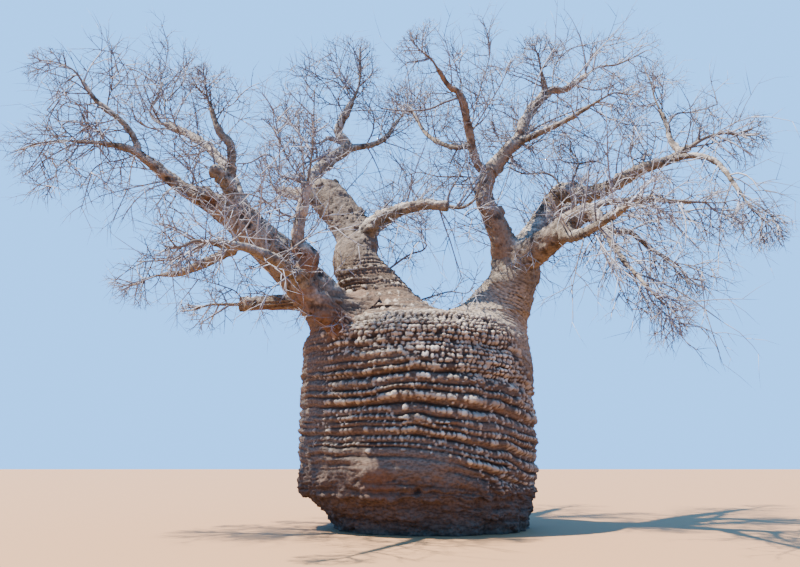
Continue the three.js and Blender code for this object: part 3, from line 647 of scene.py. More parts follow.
# Two sets of ledges take turns, so that ledges end, split and join where one gives way to the other.
def turningLedges(grid, level, seed):
    first, second = ledgeRows(grid, level, seed), ledgeRows(grid, level, seed + ledges["secondSet"])
    turns = noise(grid[..., 0] * .8 + 5, grid[..., 1] * .8, grid[..., 2] * 1.9, seed + 9)
    blend = smoothStep(-.05, .05, turns)
    both = {key: first[key] * (1 - blend) + second[key] * blend for key in ("roll", "crease")}
    both.update({key: np.where(turns > 0, second[key], first[key]) for key in ("row", "share", "width")})
    both["number"] = both["row"] + 200 * (turns > 0)
    return both


# Knobs as the tops of balls, one by chance in each cell of a row that holds a whole number of cells
# round the wood. A knob rises sqrt(size^2 - distance^2). Ring: the wood's radius at a point, and at
# the row's middle.
def knobRow(row, turn, ring, rowRing, gapUp, spacing, size, presence, jitter, seed):
    cells = np.maximum(np.round(2 * math.pi * rowRing / spacing), 3)
    place = turn / (2 * math.pi) * cells + cellChance(row, row * 0, row * 0, seed + 9)
    best, tone = np.zeros(place.shape), np.zeros(place.shape)
    for step in (-1, 0, 1):
        cell = np.floor(place) + step
        luck = [cellChance(np.mod(cell, cells), row, row * 0, seed + n) for n in range(5)]
        away = (place - cell - .5 - jitter * (luck[0] - .5)) / cells * 2 * math.pi * ring
        up = gapUp - jitter * size * (luck[1] - .5)
        radius = size * (1 + knobs["spread"] * (2 * luck[2] - 1))
        bump = np.sqrt(np.maximum(radius ** 2 - away ** 2 - up ** 2, 0)) * (luck[3] < presence)
        tone = np.where(bump > best, luck[4], tone)
        best = np.maximum(best, bump)
    return best, tone


# Knobs all over: rows of them, one spacing apart along the wood.
def knobField(along, turn, ring, spacing, size, presence, jitter, seed):
    best, tone = np.zeros(along.shape), np.zeros(along.shape)
    for step in (-1, 0, 1):
        row = np.floor(along / spacing) + step
        middle = (row + .5) * spacing
        rowRing = np.interp(middle, along[:, 0], ring[:, 0])
        bump, luck = knobRow(row, turn, ring, rowRing, along - middle, spacing, size, presence, jitter, seed)
        tone = np.where(bump > best, luck, tone)
        best = np.maximum(best, bump)
    return best, tone


# The radius of each ring of a grid: its points' mean distance from their middle.
def ringRadius(grid):
    return np.linalg.norm(grid - grid.mean(1, keepdims=True), axis=-1).mean(1, keepdims=True)


# The marks' own rise and fall: a bell of their height, a ring of their rim's height round it.
def markRelief(points):
    rise = np.zeros(points.shape[:-1])
    red = np.zeros(points.shape[:-1])
    for place, radius, height, rim, redness in marks.values():
        uneven = radius * (1 + .22 * grain(points, 7, 7, 41))
        far = np.linalg.norm(points - np.array(place), axis=-1) / uneven
        rise = rise + height * np.exp(-(far / .75) ** 2 * 1.4) + rim * np.exp(-((far - 1) / .28) ** 2)
        red = np.maximum(red, redness * smoothStep(1.2, .6, far))
    return rise, red


# Wood in close wrinkles: ridges of one pitch along the level, bent by noise, some fading out.
def wrinkleRidges(grid, level, kind):
    seed = kind["seed"]
    bend = kind["wobble"] * grain(grid, 1.5, 1.5, seed) + .40 * grain(grid, 6, 6, seed + 1)
    up = level / kind["pitch"] + bend
    row = np.floor(up)
    share = up - row
    fading = grain(grid, 2.4, 1.3, seed + 2, level=row)
    strength = np.clip(kind["strength"] + .7 * fading, .05, 1.3)
    ridge = 1 - np.abs(2 * share ** 1.4 - 1) ** 2
    # where the crease between two ridges lies; it is only painted dark, as shade
    crease = smoothStep(.20, .04, np.minimum(share, 1 - share)) * strength
    return kind["height"] * (ridge - .6) * strength, crease


# Where each kind of bark lies, as shares from 0 to 1, with edges bent by noise: the smooth foot, the
# wrinkled right side, the calm left one, the pebbles of the dome, the broad roll over the scar.
def barkZones(grid, isBody):
    x, z = grid[..., 0], grid[..., 2]
    wobble = grain(grid, 1.7, 1.7, 3)
    up, out = zip(*wrinkles["edge"])
    right = smoothStep(*zones["rightEdge"], x + .12 * wobble - np.interp(z, up, out))
    right = right * smoothStep(*zones["rightFrom"], z)
    left = smoothStep(*zones["left"], x + .15 * wobble) * smoothStep(*zones["leftTop"], z)
    height, slope, middle = zones["pebbleLine"]
    over = z + .16 * wobble - (height - slope * (x - middle))
    top = zones["pebbleTop" if isBody else "pebbleTopOnStems"]
    pebbly = smoothStep(*zones["pebbleFoot"], over) * smoothStep(*top, z + .2 * wobble)
    bulge = np.exp(-((z - footWood["bulgeAt"]) / footWood["bulgeHalf"]) ** 2) * isBody
    return {
        "wobble": wobble, "right": right, "left": left, "pebbly": pebbly * (1 - right) * (1 - left),
        "foot": smoothStep(*zones["foot"], z + .1 * wobble),
        "bulge": bulge * smoothStep(*zones["bulgeLeft"], x) * smoothStep(*zones["bulgeRight"], x),
    }


def calmed(value, zone, amounts):
    for key, amount in amounts.items():
        value = value * (1 - amount * zone[key])
    return value


# Knobs in rows on the brows, smaller ones by chance, and pebbles where they cover all. Returns their
# rise, a chance number for each, and how likely a point is to have one.
def barkKnobs(grid, turn, along, ledge, zone, seed, isBody):
    x, z = grid[..., 0], grid[..., 2]
    ring = ringRadius(grid)
    clusters = grain(grid, 1.9, 2.3, seed + 4, level=ledge["row"])
    present = np.clip(.84 + .6 * clusters, .0, 1)
    present = present * smoothStep(.88, 1.12, z + .08 * zone["wobble"] + .4 * smoothStep(.1, .8, x))
    present = present * (1 - .92 * zone["right"]) * smoothStep(-1.62, -1.46, x)
    strip = smoothStep(.16, .05, np.abs(x + 1.28 + .08 * zone["wobble"]))
    present = present * (1 - .78 * zone["left"] * (1 - strip)) * (1 - zone["pebbly"])
    present = present * (1 if isBody else knobs["stemShare"])
    up = (ledge["share"] - knobs["on"]) * ledge["width"]
    size = knobs["radius"] * np.clip(ledge["width"] / .105, .72, 1.2)
    rows, rowTone = knobRow(ledge["number"], turn, ring, ring.max() + 0 * z, up, knobs["across"], size,
                            present, knobs["jitter"], knobs["seed"])
    rows = rows * smoothStep(.04, .20, ledge["share"]) * smoothStep(1.0, .93, ledge["share"])
    few = .5 * np.sqrt(present) * (.5 + .5 * clusters)
    smalls, smallTone = knobField(along, turn, ring, knobs["small"], knobs["smallRadius"], few,
                                  knobs["smallJitter"], 71)
    strayed = along + knobs["stray"] * grain(grid, 4, 4, 95)
    turned = turn + knobs["stray"] / ring * grain(grid, 4, 4, 96)
    pebbles, pebbleTone = knobField(strayed, turned, ring, knobs["pebble"], knobs["pebbleRadius"],
                                    knobs["pebblesKept"] * zone["pebbly"], knobs["pebbleJitter"], 91)
    bump = np.maximum(np.maximum(rows, smalls), pebbles)
    tone = np.where(rows >= bump, rowTone, np.where(smalls >= bump, smallTone, pebbleTone))
    return bump, tone, present


# Trunk bark: rolls between creases that droop over them, knobs, pebbles, wrinkles. The rise along the
# normals is the sum of them all. Returns the moved points, and the numbers that its colour is mixed
# from.
def trunkBark(grid, normals, turn, along, level, seed, isBody):
    x, z = grid[..., 0], grid[..., 2]
    turn, along = turn + 0 * z, along + 0 * z
    zone = barkZones(grid, isBody)
    right, foot, pebbly, bulge = (zone[key] for key in ("right", "foot", "pebbly", "bulge"))
    level = level + ledges["wander"] * grain(grid, .9, 1.1, seed) \
        + ledges["wanderFine"] * grain(grid, 4.3, 3, seed + 1)
    inset = 0 * z
    if isBody:
        inset = calmed(ledges["inset"] * mainInset(level), zone, zones["calmInset"])
        level = level + ledges["rightDive"] * np.maximum(x - .95, 0) * smoothStep(1.5, 2.2, z)
        level = level + ledges["footDive"] * softRamp(x + .1, .3) * smoothStep(1.15, .6, z)
    ledge = turningLedges(grid, level, seed)
    share = ledge["share"]
    calm = calmed(1, zone, zones["calmLedges"]) * (1 if isBody else ledges["stemShare"])
    roll = ledges["fineDepth"] * ledge["roll"] * calm
    crease = ledge["crease"] * calm
    bump, tone, present = barkKnobs(grid, turn, along, ledge, zone, seed, isBody)
    isKnob = smoothStep(.004, .016, bump)
    wrinkled = np.maximum(right, .35 * zone["left"]) if isBody else np.maximum(right, .85 * (1 - pebbly))
    dived = level + wrinkles["dive"] * np.maximum(x - wrinkles["diveFrom"], 0) * isBody
    ridge, ridgeCrease = wrinkleRidges(grid, dived, wrinkles)
    fold, footCrease = wrinkleRidges(grid, level, footWood)
    footShare = foot * (1 - .8 * bulge)
    rough = {key: grain(grid, across, up, seed + number, octaves, level if key == "long" else None)
             for key, (across, up, number, octaves) in unevenness.items()}
    lumpy = footWood["lumps"] * rough["lumps"] * (1 + .6 * smoothStep(.2, .7, x))
    markRise, red = markRelief(grid)
    rise = roll - ledges["groove"] * crease + bump + ridge * wrinkled + markRise
    rise = rise + heights["long"] * (1 - .7 * foot) * rough["long"]
    rise = rise + heights["lumps"] * rough["lumps"] * (1 - .6 * right)
    rise = rise + heights["crumbs"] * rough["crumbs"] * (1 - .7 * wrinkled)
    rise = rise + heights["fibres"] * rough["fibres"] * red + heights["sway"] * rough["sway"]
    rise = rise + footShare * (fold + lumpy + footWood["crumbs"] * rough["crumbs"])
    rise = rise + footWood["bulge"] * bulge + footWood["swells"] * foot * rough["swells"]
    rise = rise - inset - ledges["sunk"] - knobs["sunk"] * pebbly
    # Painted shade, laid as the crease number: darker in the ledges' creases, under the rolls, in the creases
    # of the wrinkles and of the foot, and in the gaps between knobs and pebbles.
    gaps = .70 * pebbly + .40 * smoothStep(.05, .4, present) * smoothStep(.35, .60, share)
    shade = crease * 1.15 + ridgeCrease * wrinkled * .9 + smoothStep(.004, -.016, roll) * .40 * (1 - right)
    numbers = {
        "knob": isKnob * (.35 + .65 * tone),
        "crease": np.clip(shade + gaps + footCrease * footShare * .7, 0, 1) * (1 - isKnob),
        "face": smoothStep(.62, .30, share) * smoothStep(.0, .10, share) * (1 - isKnob) * (1 - right),
        "red": red,
        "low": foot,
        "bare": right * smoothStep(1.6, 2.7, z),
    }
    moved = grid + normals * rise[..., None]
    moved[..., 2] -= ledges["sag"] * np.maximum(roll, 0) * smoothStep(.05, .3, z)
    return moved, numbers


# The body: oval rings of the profile, each ring's middle shifted sideways by the trunk's lean.
def makeTrunk(material):
    along, profile = trunkProfile(trunkSizes["grid"])
    half, deep = trunkSizes["width"] / 2, trunkSizes["depth"] / 2
    columns = int(2 * math.pi * (half + deep) / 2 / trunkSizes["grid"])
    turn = np.linspace(0, 2 * math.pi, columns, endpoint=False)[None, :]
    height, shift, share = profile[:-1, 0:1], profile[:-1, 1:2], profile[:-1, 2:3]
    grid = np.stack([shift + share * half * np.cos(turn), share * deep * np.sin(turn), height + 0 * turn], -1)
    normals = gridNormals(grid)
    # the level is the height, and on the dome the way run over it
    top = np.interp(ledges["to"], height[:, 0], along[:-1])
    plain = np.minimum(height, ledges["to"]) + np.maximum(along[:-1, None] - top, 0) + 0 * turn
    level = plain
    for _ in range(4):
        level = plain + diveAt(grid[..., 0], level)
    moved, numbers = trunkBark(grid, normals, turn, plain, level, ledges["seed"], True)
    fade = smoothStep(0, .03, grid[..., 2])
    moved[..., 2] = np.maximum(grid[..., 2] + (moved[..., 2] - grid[..., 2]) * fade, 0)
    moved[0, :, 2] = 0
    rows = len(moved)
    cuts = np.linspace(0, rows, trunkSizes["bands"] + 1).astype(int)
    for band, (first, last) in enumerate(zip(cuts[:-1], cuts[1:])):
        begin = max(first - trunkSizes["overlap"], 0)
        some = moved[begin:last + trunkSizes["overlap"]].copy()
        rowNumber = np.arange(begin, begin + len(some))
        under = np.maximum(rowNumber - last, 0) + (np.maximum(first - rowNumber, 0) if band else 0)
        some -= normals[begin:begin + len(some)] * (.002 * under ** 1.5)[:, None, None]
        kept = {key: v[begin:begin + len(some)] for key, v in numbers.items()}
        piece = addMesh("trunk_band_%d" % (band + 1), *tubeFaces(some, kept), [material])
        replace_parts(piece, "trunk")
    print("trunk:", rows, "x", columns)


# Limbs

limbBark = {
    "grid": .0155, "fewestRings": 12, "sides": (14, 360),
    "flare": .75,  # width of the flare at a root, for the root's radius
    "flareMost": .30,
    "stemFlare": .60,
    "blend": .1,  # width over which one limb's flare passes from one neighbour to the next
    "rounds": 7, "stride": .8,  # how often the flare moves out, and how far towards its place
    # how ochre the lower sides of some limbs are: partly their own ochre bark, partly painted warm bounce
    # light from the floor
    "ochreAndBounce": {"front_limb": .85, "tall_limb": .62, "tall_left": .5, "tall_right": .4, "left_arm": .3,
              "right_arm": .3},
    "calm": .75,  # share of the relief that the left stem keeps
    "slant": .45,  # how much the right stem's wrinkles sink to the right
    "rough": .26,  # depth of the rough bark for the radius, up to the next number
    "roughMost": .021,
    "wart": .34, "wartRadius": .060, "wartShare": .22, "wartHeight": .05,  # knots and branch scars
    "bump": .060, "bumpRadius": .020,  # crowded small ones on the upper sides
    # heights at which each stem's bark turns into bough bark
    "plain": {"left_stem": (3.35, 4.05), "right_stem": (3.15, 3.55)}, "plainOut": (.02, .45),
    "stemPale": .45, "stemShadeUpper": .45, "stemShadeLow": .5,  # shares of a stem's colours
    # the last two shares darken the left stem, as painted shade of the crown over it
    "settle": .05,  # how far a flare sinks into the trunk or a stem, whose bark lies that much in
}
# Limbs that run into each other beside the one that carries them
meets = {
    "left_stem": ["body"],
    "right_stem": ["body"],
    "left_arm": ["body", "left_stem"],
    "left_shoulder": ["body", "left_stem", "left_arm"],
    "front_limb": ["body", "left_stem", "left_arm"],
    "right_arm": ["right_stem", "tall_limb"],
    "right_back": ["right_stem", "right_arm"],
    "tall_limb": ["right_stem", "right_arm"],
    "back_right": ["right_stem", "right_back"],
    "left_rise": ["left_arm", "left_stub"],
}


# Rings square to the limb's course, evenly spaced. Each point lies out from the course by the
# limb's radius, then on out until the blended distance to the wood it meets is nothing.
def limbGrid(limb):
    rows = max(int(limb["length"] / limbBark["grid"]), limbBark["fewestRings"])
    share = shareAt(limb, np.linspace(0, limb["length"], rows))
    centre, tangent = coursePoint(limb["joints"], share), courseTangent(limb["joints"], share)
    radius = limbRadius(limb, share)
    girth = 2 * math.pi * (.5 * radius.mean() + .5 * radius.max())
    columns = int(np.clip(girth / limbBark["grid"], *limbBark["sides"]))
    turn = np.linspace(0, 2 * math.pi, columns, endpoint=False)[None, :]
    course = unit(limb["joints"][-1] - limb["joints"][0])
    ray = outwards(tangent[:, None], course, turn[..., None])
    out = radius[:, None] + 0 * turn
    flare = min(limbBark["flare"] * limb["root"], limbBark["flareMost"])
    flare = limbBark["stemFlare"] if limb["name"] == "left_stem" else flare
    nearRoot = int(min(rows, (2.2 * limb["root"] + flare + .15) / limbBark["grid"]))
    start = radius[:nearRoot, None]
    some = out[:nearRoot]
    for _ in range(limbBark["rounds"]):
        points = (centre[:nearRoot, None] + ray[:nearRoot] * some[..., None]).reshape(-1, 3)
        gap = neighbourDistance(limb, points).reshape(some.shape)
        blended = blendedLeast(some - start, gap, flare)
        some = np.clip(some - blended * limbBark["stride"], start, start + flare)
    out[:nearRoot] = some
    grid = centre[:, None] + ray * out[..., None]
    return grid, turn + 0 * out, share[:, None] * limb["length"] + 0 * out, radius[:, None] + 0 * out


# Distance to the wood that a limb meets, blended from one neighbour to the next.
def neighbourDistance(limb, points):
    nearest = np.full(len(points), farAway)
    for name in meets.get(limb["name"], [limb["parent"]]):
        gap = bodyDistance(points) if name == "body" else limbDistance(limbs[name], points)
        gap = gap + limbBark["settle"] * (name in ("body", "left_stem", "right_stem"))
        nearest = blendedLeast(nearest, gap, limbBark["blend"])
    return nearest


# Bough bark: rough and flaking above, smoother below, with folds round the limb, knots and lumps.
def boughBark(grid, turn, along, radius):
    normals, ring = gridNormals(grid), ringRadius(grid)
    size = np.minimum(limbBark["rough"] * radius, limbBark["roughMost"])
    patch, coarse = grain(grid, 2.6, 2.6, 31), grain(grid, 12, 12, 32, 4)
    flakes = 1 - np.abs(grain(grid, 21, 21, 33, 3))
    above = smoothStep(-.55, .25, normals[..., 2] + .6 * patch)
    bent = along * 16 + .9 * grain(grid, 4, 4, 34)
    folds = 1 - np.abs(noise(np.cos(turn) * 1.3 + 5, np.sin(turn) * 1.3, bent, 35))
    foldShare = smoothStep(-.1, .5, grain(grid, 1.9, 1.9, 38))
    lumps = np.maximum(grain(grid, 4.2, 4.2, 36) - .34, 0)
    warts, _ = knobField(along, turn, ring, limbBark["wart"], limbBark["wartRadius"], limbBark["wartShare"],
                         .9, 131)
    crowds = smoothStep(.15, .5, grain(grid, 2.2, 2.2, 39)) * above
    bumps, _ = knobField(along, turn, ring, limbBark["bump"], limbBark["bumpRadius"], crowds, .8, 137)
    knotty = np.minimum(warts, limbBark["wartHeight"]) + bumps
    markRise, red = markRelief(grid)
    rise = size * (1.05 * coarse + 1.25 * (flakes - .75)) * (.35 + .65 * above)
    rise = rise + size * 1.0 * (folds - .6) * (.3 + .7 * foldShare)
    rise = rise + .30 * radius * lumps + .11 * radius * grain(grid, 1.9, 1.9, 37)
    rise = rise + knotty * np.clip(radius / .16, .12, 1) * .9
    rise = rise + markRise * np.clip(radius / .08, .4, 1)
    # Painted shade: darker in the hollows of the rough bark and in the folds, laid as the crease number.
    creased = smoothStep(.0, -.55, coarse + .6 * (flakes - .8)) + .6 * foldShare * smoothStep(.45, .2, folds)
    numbers = {
        "pale": smoothStep(.1, .8, .5 + .55 * coarse + .45 * patch) * above,
        "above": above,
        "crease": np.clip(creased, 0, 1),
        "red": red,
        **{key: 0 * above for key in ("knob", "face", "low", "bare")},
        "upper": 1 + 0 * above,
    }
    return grid + normals * rise[..., None], numbers


# Where wood near the trunk carries bough bark, as a share: higher up a stem, or away from the stem.
def plainShare(limb, grid):
    x, z = grid[..., 0], grid[..., 2]
    wobble = .25 * grain(grid, 2.1, 2.1, 62)
    if limb["name"] == "left_stem":
        return smoothStep(*limbBark["plain"]["left_stem"], z + wobble)
    if limb["name"] == "right_stem":
        return smoothStep(*limbBark["plain"]["right_stem"], z + .35 * (x - 1.1) + wobble)
    points = grid.reshape(-1, 3)
    out = np.minimum(bodyDistance(points), limbDistance(limbs["left_stem"], points)).reshape(z.shape)
    return smoothStep(*limbBark["plainOut"], out + wobble)


# Wood near the trunk carries the trunk's own ledges and knobs, which give way to bough bark. On a
# stem the level is half the height and half the way run along the surface, so that a flare carries
# as many wrinkles as the wood above it.
def rootBark(limb, grid, turn, along, radius):
    name, isStem = limb["name"], limb["name"].endswith("_stem")
    arc = np.cumsum(np.linalg.norm(np.diff(grid, axis=0, prepend=grid[:1]), axis=-1), axis=0)
    slant = limbBark["slant"] * grid[..., 0] if name == "right_stem" else 0
    level = .5 * (arc + grid[..., 2]) + slant if isStem else grid[..., 2]
    ledged, numbers = trunkBark(grid, gridNormals(grid), turn, arc, level, 61, False)
    rough, more = boughBark(grid, turn, along, radius)
    plain = plainShare(limb, grid)
    for key, values in more.items():
        numbers[key] = numbers.get(key, 0) * (1 - plain) + values * plain
    numbers["red"] = more["red"]
    if isStem:
        numbers["pale"] = limbBark["stemPale"] * numbers["pale"]
    # On the left stem the bough colours give way to the trunk's, and the foot's dark colour is laid on:
    # painted shade of the crown over the stem.
    if name == "left_stem":
        numbers["low"] = np.maximum(numbers["low"], limbBark["stemShadeLow"] * plain)
        numbers["upper"] = limbBark["stemShadeUpper"] * numbers["upper"]
        ledged, rough = (grid + (some - grid) * limbBark["calm"] for some in (ledged, rough))
    return ledged + (rough - ledged) * plain[..., None], numbers


def makeLimbs(stemMaterial, boughMaterial):
    total = 0
    for limb in limbs.values():
        if limb["slim"]:
            continue
        tube = limbGrid(limb)
        nearTrunk = limb["parent"] == "trunk"
        moved, numbers = rootBark(limb, *tube) if nearTrunk else boughBark(*tube)
        # Lower sides laid ochre through the red number: partly the limbs' own bark, partly painted bounce
        # light from the floor.
        ochreAndBounce = limbBark["ochreAndBounce"].get(limb["name"], 0) * (1 - .75 * numbers["above"])
        numbers["red"] = np.maximum(numbers["red"], ochreAndBounce)
        material = stemMaterial if nearTrunk else boughMaterial
        piece = addMesh("bark_" + limb["name"], *tubeFaces(moved, numbers), [material])
        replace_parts(piece, limb["name"])
        total += 2 * moved.shape[0] * moved.shape[1]
    print("limbs:", total, "triangles")


# Slim branches: plain tubes of a few sides, in one mesh.
def makeSlim(material):
    tubes = []
    turn = 2 * math.pi * np.arange(slimSizes["sides"])[:, None] / slimSizes["sides"]
    for limb in limbs.values():
        if not limb["slim"]:
            continue
        rows = max(int(limb["length"] / slimSizes["spacing"]), slimSizes["fewestRings"])
        share = shareAt(limb, np.linspace(0, limb["length"], rows))
        centre, tangent = coursePoint(limb["joints"], share), courseTangent(limb["joints"], share)
        ray = outwards(tangent[:, None], unit(limb["joints"][-1] - limb["joints"][0]), turn)
        metre = slimSizes["lumpsMetre"]
        lumpy = 1 + slimSizes["lumps"] * grain(centre, metre, metre, 151)
        radius = (limbRadius(limb, share) * lumpy)[:, None, None]
        tubes.append(tubeFaces(centre[:, None] + ray * radius, {})[:3])
    points, quads, triangles = joinTubes(tubes)
    piece = addMesh("slim_branches", points, quads, triangles, {}, [material])
    print("slim branches:", 2 * len(quads) + len(triangles), "triangles")


# Twigs: the source's rule, carried on to finer ones

twigRule = {
    "stemSteps": 4, "stemReach": .9, "stemPull": .6, "thickest": .045,
    "wander": .32, "childGirth": .5, "tipGirth": .4, "margin": .94, "stagger": .7, "shortest": .25,
    "lengthLow": .8, "lengthHigh": 1.2, "family": 16, "goldenAngle": 137.5, "gap": .0003,
    "clearance": .03, "inside": .01,  # room to a limb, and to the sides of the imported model's box
    # twigs on each parent, where along it from and to, degrees off it there, length for its
    # parent's, steps, least radius, how crooked, how far it bends in one smooth arc: first the
    # source's two levels, then the finer ones
    "levels": [(5, .08, .94, 62, 34, .80, 2, .011, .32, 0), (2, .30, .84, 56, 34, .62, 3, .008, .32, 0)],
    "fine": [(5, .08, .97, 70, 34, .78, 4, .0088, .06, .13), (4, .15, .96, 64, 34, .66, 3, .0075, .06, .13),
             (2, .25, .90, 60, 34, .62, 2, .0064, .06, .13)],
    "fineCounts": (7, 4, 2),  # on a mass's stem, on its first and on its second side twigs
    "fineOffset": 6,  # so that their chances differ from the source's twigs'
    "slender": .72,  # how thick a mass's stem is at its root, for its bough's tip
    "slenderFor": {"front_limb": .40}, "stemTaper": .6,
    # shoots along the boughs and slim branches: how many a metre, and their length in metres
    "perMetre": 8.5, "perMetreSlim": 10, "shootShort": .22, "shootLong": 1.25, "shootPower": 1.3,
    "slimLong": .70, "shootSteps": 5, "shootRadius": .0112, "shootWander": .08, "shootArc": .13,
    "shootLift": .0, "least": .1,
    "boughShare": .16, "slimShare": .05,  # no shoots nearer to a root than this share
    # more of them on boughs of the far side and the front, whose own boughs are few
    "denser": {"back_left": 2.0, "back_mid": 2.0, "back_right": 2.0, "back_tall": 1.6, "front_left": 1.6,
               "front_right": 1.6},
    "secondCount": 5, "secondLength": .60, "thirdCount": 2,
    "lots": 8, "lotsInPiece": 4,  # shoots are shared out among pieces by lots
    # boughs whose shoots hang
    "hang": {"left_up": -.06, "left_arm": -.10, "left_low": -.04, "left_shoulder": -.06, "right_back": -.02,
             "right_arm": -.10, "right_droop": -.20, "right_mid": -.18, "right_low": -.20,
             "right_hang": -.20, "centre_bough": -.03},
    # bough, reach, bearing, rise, half width, lift
    "spaces": [
        ("left_arm", 1.00, 176, -18, .66, -.1), ("left_up", .72, 178, -8, .50, -.04),
        ("left_low", .95, 161, 4, .52, -.06), ("left_shoulder", 1.10, 165, -12, .40, -.1),
        ("left_rise", 1.70, 80, 82, .76, .06), ("left_upright", .62, -100, 80, .43, .08),
        ("front_limb", 1.35, -162, 76, .48, .12), ("top_left", 1.25, -179, 82, .70, .12),
        ("top_left_reach", 1.00, 20, 60, .52, .08), ("centre_bough", 1.00, -40, 62, .40, .1),
        ("tall_left", .70, -150, 32, .54, .0), ("tall_left_side", 1.04, 146, 54, .48, .06),
        ("tall_right", 1.65, 12, 26, .66, .03), ("tall_right_low", .88, -13, 0, .44, -.02),
        ("tall_fan", .68, -110, 60, .47, .12), ("right_up", 1.14, 41, 66, .56, .08),
        ("right_back", 1.15, -11, 6, .56, -.06), ("right_droop", .93, -36, -64, .40, -.16),
        ("right_mid", .70, -12, -34, .40, -.16), ("right_low", .86, 15, -26, .42, -.14),
        ("right_hang", .76, -64, -66, .42, -.16), ("back_left", 1.75, 127, 36, .82, .04),
        ("back_mid", 1.70, 84, 40, .80, .05), ("back_right", 1.75, 50, 36, .82, .02),
        ("back_tall", 1.37, 80, 54, .72, .08), ("front_right", .76, -81, -16, .43, -.1),
        ("front_left", .74, -109, -20, .43, -.08),
    ],
}
spaceBough, *columns = zip(*twigRule["spaces"])
spaceReach, spaceBearing, spaceRise, spaceHalf, spaceLift = map(np.array, columns)
spaceAxis = heading(spaceBearing, spaceRise)
spaceTip = np.array([limbs[name]["joints"][-1] for name in spaceBough])
spaceCentre = spaceTip + spaceAxis * spaceReach[:, None] / 2


# A space is an egg along its axis: a vector, in shares of the egg's half width and half reach.
def eggVector(place, vectors):
    axis = spaceAxis[place]
    along = (vectors * axis).sum(-1, keepdims=True)
    squeeze = (2 / spaceReach[place] - 1 / spaceHalf[place])[..., None]
    return vectors / spaceHalf[place][..., None] + axis * along * squeeze


# Whether a point is in its own space, and further out of the middle of every other one.
def isOwn(place, points):
    own = np.linalg.norm(eggVector(place, points - spaceCentre[place]), axis=-1)
    mine = own <= 1
    for other in range(len(spaceBough)):
        index = np.full(place.shape, other)
        far = np.linalg.norm(eggVector(index, points - spaceCentre[other]), axis=-1)
        mine &= (far > own) | (place == other)
    return mine


# How far a twig can run before it leaves its space: the larger root of |p + s d| = 1.
def roomAhead(place, start, direction):
    p, d = eggVector(place, start - spaceCentre[place]), eggVector(place, direction)
    dd, pd = (d * d).sum(-1), (p * d).sum(-1)
    inside = pd ** 2 - dd * ((p * p).sum(-1) - 1)
    return np.where(inside > 0, (np.sqrt(np.maximum(inside, 0)) - pd) / dd, 0)


def pick(twigs, keep):
    return {key: values[keep] for key, values in twigs.items()}


levelKeys = ("count", "low", "high", "turnLow", "turnHigh", "length", "steps", "least", "wander", "arc")


def readLevel(row, **changes):
    return {**dict(zip(levelKeys, row)), **changes}


# Crooked twigs: each step leans by chance, up or down by the lift, and to the axis by the pull. Some
# also lean one way all along, which makes an arc.
def growTwigs(place, twigId, start, direction, length, root, steps, lift, wander, arc=0, pull=0, axis=None):
    points, heads = [start], direction
    bow = arc * unit(np.stack([chance(place, twigId, 50 + n) * 2 - 1 for n in (1, 2, 3)], 1))
    for i in range(1, steps + 1):
        points.append(points[-1] + heads * (length / steps)[:, None])
        lean = np.stack([wander * (chance(place, twigId, i * 4 + n) * 2 - 1) for n in (1, 2, 3)], 1)
        heads = heads + lean + bow if axis is None else heads * (1 - pull) + axis * pull + lean
        heads[:, 2] += lift
        heads = unit(heads)
    points = np.stack(points, 1)
    radii = root[:, None] * (1 - (1 - twigRule["tipGirth"]) * np.linspace(0, 1, steps + 1)[None])
    return {"place": place, "twigId": twigId, "points": points, "radii": radii, "length": length,
            "lift": lift}


# Side twigs: each leaves its parent at a share of its length, turned off it and round it.
def sideTwigs(parents, level, inSpace=True, offset=0):
    count = level["count"]
    index = np.repeat(np.arange(len(parents["place"])), count)
    k = np.tile(np.arange(count), len(parents["place"]))
    place, parentId, joints, radii, parentLength, lift = (
        parents[key][index] for key in ("place", "twigId", "points", "radii", "length", "lift"))
    twigId = parentId * twigRule["family"] + k + offset
    slot = (k + .5 + twigRule["stagger"] * (chance(place, twigId, 1) - .5)) / count
    share = level["low"] + (level["high"] - level["low"]) * slot
    last = joints.shape[1] - 1
    joint = np.minimum((share * last).astype(int), last - 1)
    rows = np.arange(len(index))
    start = batchCourse(joints, share)
    ahead = unit(joints[rows, joint + 1] - joints[rows, joint])
    spin = np.radians(twigRule["goldenAngle"] * k + 360 * chance(place, parentId, 2))[:, None]
    turn = np.radians(level["turnLow"] + (level["turnHigh"] - level["turnLow"]) * share)[:, None]
    direction = ahead * np.cos(turn) + outwards(ahead, ahead, spin) * np.sin(turn)
    wanted = level["length"] * parentLength
    if inSpace:
        reach = spaceReach[np.minimum(place, len(spaceReach) - 1)]
        wanted = np.where(parentId == 1, level["length"] * reach, wanted)
    spread = twigRule["lengthHigh"] - twigRule["lengthLow"]
    length = wanted * (twigRule["lengthLow"] + spread * chance(place, twigId, 3))
    if inSpace:
        length = np.minimum(length, twigRule["margin"] * roomAhead(place, start, direction))
    between = share * last - joint
    radius = radii[rows, joint] * (1 - between) + radii[rows, joint + 1] * between
    root = np.minimum(np.maximum(level["least"], twigRule["childGirth"] * radius), .9 * radius)
    fits = length > twigRule["shortest"] * level["length"] * parentLength
    kept = (values[fits] for values in (place, twigId, start, direction, length, root))
    grown = growTwigs(*kept, level["steps"], lift[fits], level["wander"], level["arc"])
    if inSpace:
        keep = np.ones(len(grown["place"]), bool)
        for j in range(1, level["steps"] + 1):
            keep &= isOwn(grown["place"], grown["points"][:, j])
            keep &= isOwn(grown["place"], (grown["points"][:, j] + grown["points"][:, j - 1]) / 2)
        grown = pick(grown, keep)
    return inBox(grown)


